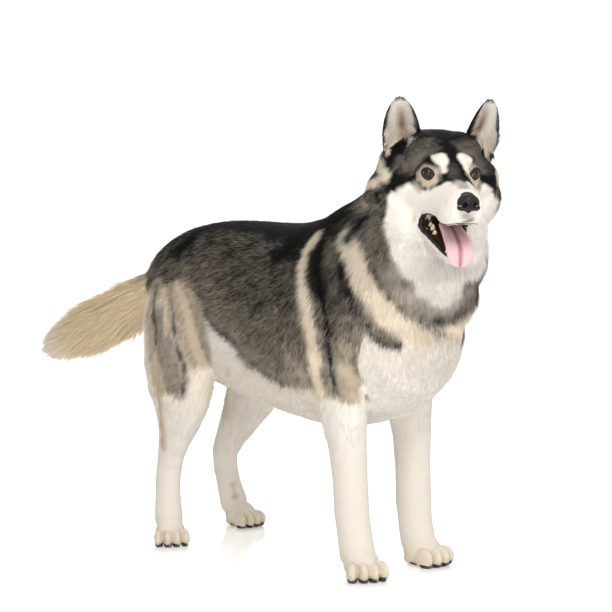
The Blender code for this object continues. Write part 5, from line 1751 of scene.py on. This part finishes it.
def ear_lies(places, normals):
    """On an ear the coat runs to the tip, and inside also from the front edge to the middle."""
    turn = np.array(HEAD_BACK.to_3x3())
    local = to_head(places)
    lies = np.zeros_like(places)
    sizes = np.zeros((len(places), 3))
    for side in (-1, 1):
        up, face, across = (np.array(axis) for axis in ear_axes(side))
        mine = local[:, 1] * side > 0
        offset = local - np.array(EAR_FEET[side])
        inner = np.clip((normals @ turn.T) @ face * 3.0, 0.0, 1.0)
        out = offset @ across / EAR_HALF_WIDTH
        level = np.clip(offset @ up / EAR_HEIGHT, 0.0, 1.0)
        lie = up[None, :] - across[None, :] * (out * inner * 0.9)[:, None]
        lies[mine] = (lie @ turn)[mine]
        length = 0.0065 + 0.012 * inner * (1 - level)
        sizes[mine] = np.stack([length, 0.24 + 0.2 * inner, 0.001 + 0.0002 * inner], axis=1)[mine]
    return lies, sizes


def tuft_plan(column):
    """Roots, normals, lies and sizes of one part's tufts."""
    part = PARTS[column]
    count = part.tufts
    places, normals = roots_of(column, count)
    if part.name.startswith("ear"):
        lies, sizes = ear_lies(places, normals)
    else:
        lies, sizes = combed(places)
    lies = lies + 0.13 * unit(RNG.normal(size=lies.shape))
    sway = np.stack([ripple(places, 70.0, 11), ripple(places, 70.0, 12), ripple(places, 70.0, 13)], axis=1)
    lies = lies + 0.05 * sway
    lies = unit(lies - normals * (lies * normals).sum(axis=1, keepdims=True))
    spreads = ((0.7, 1.15), (0.65, 1.25), (0.75, 1.25))
    sizes = sizes * np.stack([RNG.uniform(low, high, count) for low, high in spreads], axis=1)
    return places, normals, lies, sizes


# %% Shape of the tufts
# A station is a share of the tuft's length and of its width there.
STATIONS = {
    1: ((0.0, 0.85), (1.0, 0.0)),
    3: ((0.0, 0.85), (0.36, 1.0), (0.72, 0.62), (1.0, 0.0)),
}
BEND = 0.36
DROOP = 0.05
LOWEST_TUFT = 0.0012
OWN_SHADING = 0.36
SKIN_SHADING = 0.8
PATCH = 0.003


def tuft_lines(places, normals, lies, sizes, shares):
    """Middles of the tufts at each share of their length."""
    length = sizes[:, 0:1]
    lift = sizes[:, 1:2]
    sunk = places - normals * np.minimum(0.0015, length * 0.12)
    lines = []
    for share in shares:
        rise = length * lift * (share - BEND * share * share)
        run = length * share * (1 - lift * lift / 6)
        droop = DROOP * length * share * share * np.clip(length / 0.05, 0.0, 1.5)
        lines.append(sunk + normals * rise + lies * run - np.array([0.0, 0.0, 1.0]) * droop)
    return lines


def leaning(places, tips, lengths, share):
    """How far each tuft leans towards the tip of the lock that it belongs to."""
    count = len(places)
    heads = RNG.choice(count, size=max(count // LOCK_SIZE, 1), replace=False)
    tree = KDTree(len(heads))
    for number, head in enumerate(heads):
        tree.insert(places[head], number)
    tree.balance()
    lock = np.array([tree.find(place)[1] for place in places])
    lean = (tips[heads[lock]] - tips) * share
    far = np.linalg.norm(lean, axis=1, keepdims=True)
    limit = lengths * 0.45
    return lean * np.minimum(1.0, limit / np.maximum(far, 1e-9)), lock


def tuft_corners(lines, stations, side, normals, width):
    """Three corners for every tuft at each station and one at its tip."""
    blocks = []
    for line, (_, wide) in zip(lines[:-1], stations[:-1]):
        half = width * wide / 2
        blocks += [line + side * half, line - side * half, line + normals * half * 0.9]
    blocks.append(lines[-1])
    corners = np.stack(blocks, axis=1)
    corners[:, :, 2] = np.maximum(corners[:, :, 2], LOWEST_TUFT)
    return corners


def tuft_faces(stations):
    """Triangles of one tuft: its foot, the walls between stations and the point."""
    faces = [(0, 1, 2)]
    last = 3 * (len(stations) - 2)
    for low in range(0, last, 3):
        for here, there in ((low, low + 1), (low + 1, low + 2), (low + 2, low)):
            faces += [(here, here + 3, there + 3), (here, there + 3, there)]
    faces += [(last + corner, last + 3, last + (corner + 1) % 3) for corner in range(3)]
    return np.array(faces)


def mesh_from_arrays(name, corners, triangles):
    mesh = bpy.data.meshes.new(name)
    mesh.vertices.add(len(corners))
    mesh.vertices.foreach_set("co", corners.ravel())
    mesh.loops.add(triangles.size)
    mesh.loops.foreach_set("vertex_index", triangles.ravel().astype(np.int32))
    mesh.polygons.add(len(triangles))
    mesh.polygons.foreach_set("loop_start", np.arange(0, triangles.size, 3, dtype=np.int32))
    mesh.update(calc_edges=True)
    obj = bpy.data.objects.new(name, mesh)
    SCENE.collection.objects.link(obj)
    return obj


def map_tufts(obj, places, part, stations, triangles):
    """Gives each tuft a tiny patch of the OFBake map beside its root's place."""
    patch = [(across, PATCH * share) for share, _ in stations[:-1] for across in (0.0, PATCH, PATCH / 2)]
    patch = np.array(patch + [(PATCH / 2, PATCH)])
    spots = (unwrap(places, part)[:, None, :] + patch[None, :, :]).reshape(-1, 2)
    layer = obj.data.uv_layers.new(name="OFBake")
    layer.data.foreach_set("uv", spots[triangles.ravel()].ravel())


def soften_normals(obj, corners, lines, normals):
    """Shades each tuft mostly like the skin below it and a little like a sliver of its own."""
    rows = corners.shape[1]
    middles = np.stack([lines[min(row // 3, len(lines) - 1)] for row in range(rows)], axis=1)
    own = unit((corners - middles).reshape(-1, 3))
    blended = unit(own * OWN_SHADING + np.repeat(normals, rows, axis=0) * SKIN_SHADING)
    obj.data.normals_split_custom_set_from_vertices(blended)


# %% One mesh of tufts


def tuft_mesh(name, part, places, normals, lies, sizes):
    """All the tufts of a part with their markings, shares and OFBake map."""
    stations = STATIONS[part.joints]
    shares = [station[0] for station in stations]
    lines = tuft_lines(places, normals, lies, sizes, shares)
    lean, lock = leaning(places, lines[-1], sizes[:, 0:1], part.lean)
    keep = np.ones(len(places), dtype=bool)
    if part.slot in ("coat_head", "coat_neck", "ears"):
        tips = lines[-1] + lean
        keep[:] = [not is_bare(Vector(place), Vector(tip)) for place, tip in zip(places, tips)]
    lines = [(line + lean * share**1.5)[keep] for line, share in zip(lines, shares)]
    places, normals, lies, sizes, lock = [rows[keep] for rows in (places, normals, lies, sizes, lock)]
    corners = tuft_corners(lines, stations, unit(np.cross(normals, lies)), normals, sizes[:, 2:3])
    count, rows = corners.shape[:2]
    firsts = (np.arange(count) * rows)[:, None, None]
    triangles = (tuft_faces(stations)[None, :, :] + firsts).reshape(-1, 3)
    obj = mesh_from_arrays(name, corners.reshape(-1, 3), triangles)
    along = np.array([share for share in shares[:-1] for _ in range(3)] + [1.0])
    keep_values(obj, "tuft_share", np.tile(along, count))
    shade = 0.6 * RNG.random(count) + 0.4 * np.random.default_rng(5).random(lock.max() + 1)[lock]
    keep_values(obj, "tuft_shade", np.repeat(shade, rows))
    if part.name.startswith("ear"):
        tones = paint_ears(places, normals)
    else:
        tones = paint(places + lies * sizes[:, 0:1] * 0.5)
    keep_markings(obj, np.repeat(tones, rows, axis=0))
    map_tufts(obj, places, part, stations, triangles)
    smooth_all(obj)
    soften_normals(obj, corners, lines, normals)
    return obj, len(triangles)


def keep_markings(obj, tones):
    """Writes the four markings of each vertex as one colour attribute."""
    layer = obj.data.color_attributes.new("markings", "FLOAT_COLOR", "POINT")
    layer.data.foreach_set("color", np.clip(tones, 0.0, 1.0).astype(np.float32).ravel())


# %% Grow the coat
MOST_TRIANGLES = 190000


def pieces_of(part, places):
    """One piece, or a right and a left one for a part with too many triangles."""
    if part.tufts * (6 * part.joints - 2) <= MOST_TRIANGLES:
        return [(f"coat_{part.name}", np.ones(len(places), dtype=bool))]
    leftward = places[:, 1]
    if part.name == "head":
        leftward = places @ np.array(HEAD_BACK.to_3x3())[1] + HEAD_BACK.translation[1]
    return [(f"coat_{part.name}_right", leftward < 0), (f"coat_{part.name}_left", leftward >= 0)]


coat = []
total = 0
for column, part in enumerate(PARTS):
    plan = tuft_plan(column)
    for name, mine in pieces_of(part, plan[0]):
        piece, triangles = tuft_mesh(name, part, *[rows[mine] for rows in plan])
        total += triangles
        print(name, triangles)
        coat.append((piece, part))
print("coat triangles", total)

# %% [markdown]
# The skin under the coat has the same markings. Where no tuft grows it is bare: black round the eyes
# and dark red in the mouth, told by a second attribute.

# %% Markings of the skin
skin_tones = paint(CORNERS)
corner_parts = part_shares(CORNERS).argmin(axis=1)
ear_columns = [number for number, part in enumerate(PARTS) if part.name.startswith("ear")]
ear_corners = np.isin(corner_parts, ear_columns)
skin_tones[ear_corners] = paint_ears(CORNERS[ear_corners], NORMALS[ear_corners])
keep_markings(skin, skin_tones)
head_corners = np.linalg.norm(CORNERS - np.array(HEAD_PLACE), axis=1) < 0.25
wet = np.zeros(len(CORNERS))
for number in np.nonzero(head_corners)[0]:
    wet[number] = 1.0 if in_mouth(Vector(CORNERS[number])) else 0.0
keep_values(skin, "mouth_lining", wet)
keep_values(skin, "tuft_share", np.zeros(len(CORNERS)))
keep_values(skin, "tuft_shade", np.full(len(CORNERS), 0.5))
print("mouth corners", int(wet.sum()))

# %% [markdown]
# Materials come last. Two of them, the skin's and the coat's, need the same markings turned into hair
# colour, so that step is a node group built once. An agouti hair is pale at its root and dark at its
# tip, and no two are alike, so the group mixes by the tuft's length share and its own shade.

# %% Node helpers


def add_node(tree, kind, place=(0, 0), **settings):
    made = tree.nodes.new(kind)
    made.location = place
    for key, value in settings.items():
        setattr(made, key, value)
    return made


def wire(tree, source, target):
    tree.links.new(source, target)


def number_math(tree, operation, first, second, clamp=False):
    """One arithmetic step between sockets or plain numbers."""
    made = add_node(tree, "ShaderNodeMath", operation=operation, use_clamp=clamp)
    for socket, value in zip(made.inputs, (first, second)):
        if isinstance(value, (int, float)):
            socket.default_value = value
        else:
            wire(tree, value, socket)
    return made.outputs[0]


def blend_colours(tree, share, first, second, mode="MIX"):
    """Mixes two colours, each a socket or a plain triple, by a share."""
    made = add_node(tree, "ShaderNodeMix", data_type="RGBA", blend_type=mode)
    for socket, value in zip((made.inputs[0], made.inputs[6], made.inputs[7]), (share, first, second)):
        if isinstance(value, (int, float)):
            socket.default_value = value
        elif isinstance(value, tuple):
            socket.default_value = (*value, 1.0)
        else:
            wire(tree, value, socket)
    return made.outputs[2]


def map_share(tree, value, low, high, to_low=0.0, to_high=1.0):
    made = add_node(tree, "ShaderNodeMapRange", interpolation_type="SMOOTHSTEP")
    for socket, number in zip(list(made.inputs)[1:5], (low, high, to_low, to_high)):
        socket.default_value = number
    wire(tree, value, made.inputs[0])
    return made.outputs[0]


def read_attribute(tree, name):
    return add_node(tree, "ShaderNodeAttribute", attribute_name=name)


def object_noise(tree, scale, detail=3.0, roughness=0.55):
    """Noise that stays in place on the object."""
    where = add_node(tree, "ShaderNodeTexCoord")
    made = add_node(tree, "ShaderNodeTexNoise")
    made.inputs["Scale"].default_value = scale
    made.inputs["Detail"].default_value = detail
    made.inputs["Roughness"].default_value = roughness
    wire(tree, where.outputs["Object"], made.inputs["Vector"])
    return made.outputs["Fac"]


# %% Hair colour group
WHITE_HAIR = (0.84, 0.808, 0.755)
CREAM_HAIR = (0.76, 0.59, 0.365)
RUST_HAIR = (0.4, 0.215, 0.105)
BLACK_HAIR = (0.0055, 0.005, 0.0045)
GREY_HAIR = (0.27, 0.228, 0.18)


def hair_colour_group():
    tree = bpy.data.node_groups.new("hair_colour", "ShaderNodeTree")
    tree.interface.new_socket("Patchiness", in_out="INPUT", socket_type="NodeSocketFloat")
    tree.interface.new_socket("Colour", in_out="OUTPUT", socket_type="NodeSocketColor")
    inputs = add_node(tree, "NodeGroupInput")
    outputs = add_node(tree, "NodeGroupOutput")
    markings = read_attribute(tree, "markings")
    split = add_node(tree, "ShaderNodeSeparateColor")
    wire(tree, markings.outputs["Color"], split.inputs[0])
    dark, agouti, warm = split.outputs
    rust = markings.outputs["Alpha"]
    share = read_attribute(tree, "tuft_share").outputs["Fac"]
    shade = read_attribute(tree, "tuft_shade").outputs["Fac"]

    base = blend_colours(tree, warm, WHITE_HAIR, CREAM_HAIR)
    base = blend_colours(tree, rust, base, RUST_HAIR)
    under = number_math(tree, "MULTIPLY", agouti, 0.85)
    base = blend_colours(tree, under, base, GREY_HAIR)
    spread = number_math(tree, "MULTIPLY_ADD", shade, 0.27)
    spread.node.inputs[2].default_value = 0.8
    level = add_node(tree, "ShaderNodeCombineXYZ")
    for socket in level.inputs:
        wire(tree, spread, socket)
    base = blend_colours(tree, 1.0, base, level.outputs[0], "MULTIPLY")

    tip = map_share(tree, share, 0.25, 0.85)
    patch = map_share(tree, object_noise(tree, 38.0), 0.3, 0.7, -0.5, 0.5)
    patch = number_math(tree, "MULTIPLY", patch, inputs.outputs["Patchiness"])
    chance = number_math(tree, "SUBTRACT", shade, 0.5)
    chance = number_math(tree, "MULTIPLY", chance, 0.8)
    ticking = number_math(tree, "MULTIPLY", tip, 0.5)
    ticking = number_math(tree, "ADD", ticking, chance)
    ticking = number_math(tree, "ADD", ticking, patch)
    ticking = number_math(tree, "MULTIPLY", ticking, agouti)
    darkness = number_math(tree, "ADD", dark, ticking, clamp=True)
    wire(tree, blend_colours(tree, darkness, base, BLACK_HAIR), outputs.inputs["Colour"])
    return tree


HAIR_COLOUR = hair_colour_group()


def new_material(name, roughness, specular=0.5, coat=0.0):
    made = bpy.data.materials.new(name)
    made.use_nodes = True
    shader = made.node_tree.nodes["Principled BSDF"]
    shader.inputs["Roughness"].default_value = roughness
    shader.inputs["Specular IOR Level"].default_value = specular
    shader.inputs["Coat Weight"].default_value = coat
    return made, made.node_tree, shader


def hair_colour_node(tree, patchiness):
    made = add_node(tree, "ShaderNodeGroup", place=(-400, 200))
    made.node_tree = HAIR_COLOUR
    made.inputs["Patchiness"].default_value = patchiness
    return made.outputs["Colour"]


def add_bump(tree, shader, height, strength, distance):
    made = add_node(tree, "ShaderNodeBump")
    made.inputs["Strength"].default_value = strength
    made.inputs["Distance"].default_value = distance
    wire(tree, height, made.inputs["Height"])
    wire(tree, made.outputs["Normal"], shader.inputs["Normal"])


def dress(obj, material):
    obj.data.materials.clear()
    obj.data.materials.append(material)


# %% [markdown]
# Hair scatters light without a hard shine, so its gloss is low and broad. The skin shows only between
# tufts; it takes the hair colour made a little darker as painted shade there, and has a fine nap.

# %% Coat and skin
coat_material, tree, shader = new_material("husky_coat", 0.7, specular=0.06)
wire(tree, hair_colour_node(tree, 0.18), shader.inputs["Base Color"])
shader.inputs["Sheen Weight"].default_value = 0.015
shader.inputs["Sheen Roughness"].default_value = 0.45

skin_material, tree, shader = new_material("husky_skin", 0.72, specular=0.06)
# the skin takes the hair colour made a little darker: painted shade between the tufts
fur_base_with_painted_shade = blend_colours(tree, 1.0, hair_colour_node(tree, 0.18), (0.88, 0.86, 0.84), "MULTIPLY")
lining = read_attribute(tree, "mouth_lining").outputs["Fac"]
flesh = blend_colours(tree, object_noise(tree, 120.0), (0.018, 0.006, 0.006), (0.055, 0.016, 0.017))
wire(tree, blend_colours(tree, lining, fur_base_with_painted_shade, flesh), shader.inputs["Base Color"])
wire(tree, map_share(tree, lining, 0.0, 1.0, 0.72, 0.3), shader.inputs["Roughness"])
add_bump(tree, shader, object_noise(tree, 700.0), 0.5, 0.0008)
dress(skin, skin_material)


def solids_called(*words):
    """Names of the solids that begin with one of these words."""
    return [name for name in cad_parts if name.split("_")[0] in words]


covered = solids_called("torso", "neck", "head", "lower", "tail", "ear")
finish_piece(skin, "coat_torso", *covered, *solids_called("thigh", "hind", "front"))
for piece, part in coat:
    dress(piece, coat_material)
    piece.data.transform(Matrix.Translation(PLAN_TO_FRAME))
    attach(piece, "root")
print("dressed", len(coat), "coat pieces")

# %% [markdown]
# A dog's eye is nearly all iris: a black pupil, brown that lightens outwards in fine spokes, and a dark
# edge before the white. A clear coat over it all gives the wet highlight.

# %% Eye material
eye_material, tree, shader = new_material("brown_eye", 0.12, specular=0.05, coat=0.6)
shader.inputs["Coat Roughness"].default_value = 0.03
angle = read_attribute(tree, "sight_angle").outputs["Fac"]
ramp = add_node(tree, "ShaderNodeValToRGB")
wire(tree, angle, ramp.inputs[0])
stops = (
    (0.0, (0.002, 0.002, 0.002)),
    (0.21, (0.003, 0.002, 0.002)),
    (0.28, (0.008, 0.004, 0.003)),
    (0.42, (0.022, 0.009, 0.005)),
    (0.52, (0.014, 0.006, 0.004)),
    (0.58, (0.006, 0.004, 0.004)),
    (0.66, (0.11, 0.08, 0.065)),
    (0.8, (0.35, 0.29, 0.25)),
)
while len(ramp.color_ramp.elements) < len(stops):
    ramp.color_ramp.elements.new(0.5)
for element, (place, colour) in zip(ramp.color_ramp.elements, stops):
    element.position = place
    element.color = (*colour, 1.0)
spokes = map_share(tree, object_noise(tree, 900.0), 0.35, 0.65, 0.75, 1.25)
level = add_node(tree, "ShaderNodeCombineXYZ")
for socket in level.inputs:
    wire(tree, spokes, socket)
iris = blend_colours(tree, 1.0, ramp.outputs[0], level.outputs[0], "MULTIPLY")
wire(tree, iris, shader.inputs["Base Color"])
for piece in eyeballs:
    dress(piece, eye_material)
print("eye colours", len(stops))

# %% [markdown]
# Lips, lids, nose and pads are the same bare black skin at different scales of grain, so each takes one
# grain of cells and noise with its own size and depth.

# %% Bare black skin


def black_skin(name, colour, second, roughness, grain, depth, coat=0.0):
    made, tree, shader = new_material(name, roughness, specular=0.14, coat=coat)
    where = add_node(tree, "ShaderNodeTexCoord")
    cells = add_node(tree, "ShaderNodeTexVoronoi")
    cells.inputs["Scale"].default_value = grain
    wire(tree, where.outputs["Object"], cells.inputs["Vector"])
    mottled = blend_colours(tree, object_noise(tree, grain * 0.25), colour, second)
    wire(tree, mottled, shader.inputs["Base Color"])
    add_bump(tree, shader, cells.outputs["Distance"], 0.6, depth)
    return made


lid_material = black_skin("lid_skin", (0.006, 0.005, 0.005), (0.014, 0.011, 0.01), 0.36, 900.0, 0.0002, 0.15)
dress(lid_rims, lid_material)
dress(lips, black_skin("lip_skin", (0.006, 0.005, 0.005), (0.02, 0.014, 0.014), 0.36, 420.0, 0.0005, 0.15))
dress(nose, black_skin("nose_skin", (0.006, 0.005, 0.006), (0.022, 0.017, 0.018), 0.46, 620.0, 0.0006, 0.1))
pad_material = black_skin("pad_skin", (0.02, 0.018, 0.018), (0.06, 0.05, 0.048), 0.75, 500.0, 0.0008)
for piece in pads:
    dress(piece, pad_material)
print("pads", len(pads))

# %% [markdown]
# The tongue is wet and rough at once: tiny bumps break the highlight, and its middle groove is painted
# a deeper pink as painted shade in the crease. Teeth are ivory mottled with yellow, and claws are horn
# mottled with a lighter brown.

# %% Tongue, teeth and claws
tongue_material, tree, shader = new_material("tongue_pink", 0.5, specular=0.35, coat=0.08)
shader.inputs["Subsurface Weight"].default_value = 0.12
shader.inputs["Subsurface Radius"].default_value = (0.004, 0.0015, 0.001)
pink = blend_colours(tree, object_noise(tree, 70.0), (0.58, 0.345, 0.367), (0.66, 0.425, 0.447))
# the middle groove is mixed to a deeper pink: painted shade in the crease
groove_shade = read_attribute(tree, "groove").outputs["Fac"]
pink = blend_colours(tree, groove_shade, pink, (0.3, 0.115, 0.135))
wire(tree, pink, shader.inputs["Base Color"])
add_bump(tree, shader, object_noise(tree, 1400.0), 0.35, 0.0004)
dress(tongue, tongue_material)

ivory, tree, shader = new_material("tooth_ivory", 0.28, specular=0.5, coat=0.3)
enamel = blend_colours(tree, object_noise(tree, 160.0), (0.58, 0.42, 0.22), (0.76, 0.66, 0.46))
wire(tree, enamel, shader.inputs["Base Color"])
dress(teeth, ivory)

horn, tree, shader = new_material("claw_horn", 0.38, specular=0.5)
brown = blend_colours(tree, object_noise(tree, 220.0), (0.035, 0.026, 0.021), (0.13, 0.1, 0.08))
wire(tree, brown, shader.inputs["Base Color"])
add_bump(tree, shader, object_noise(tree, 900.0), 0.3, 0.0003)
for piece in claws:
    dress(piece, horn)
print("materials", len(bpy.data.materials))
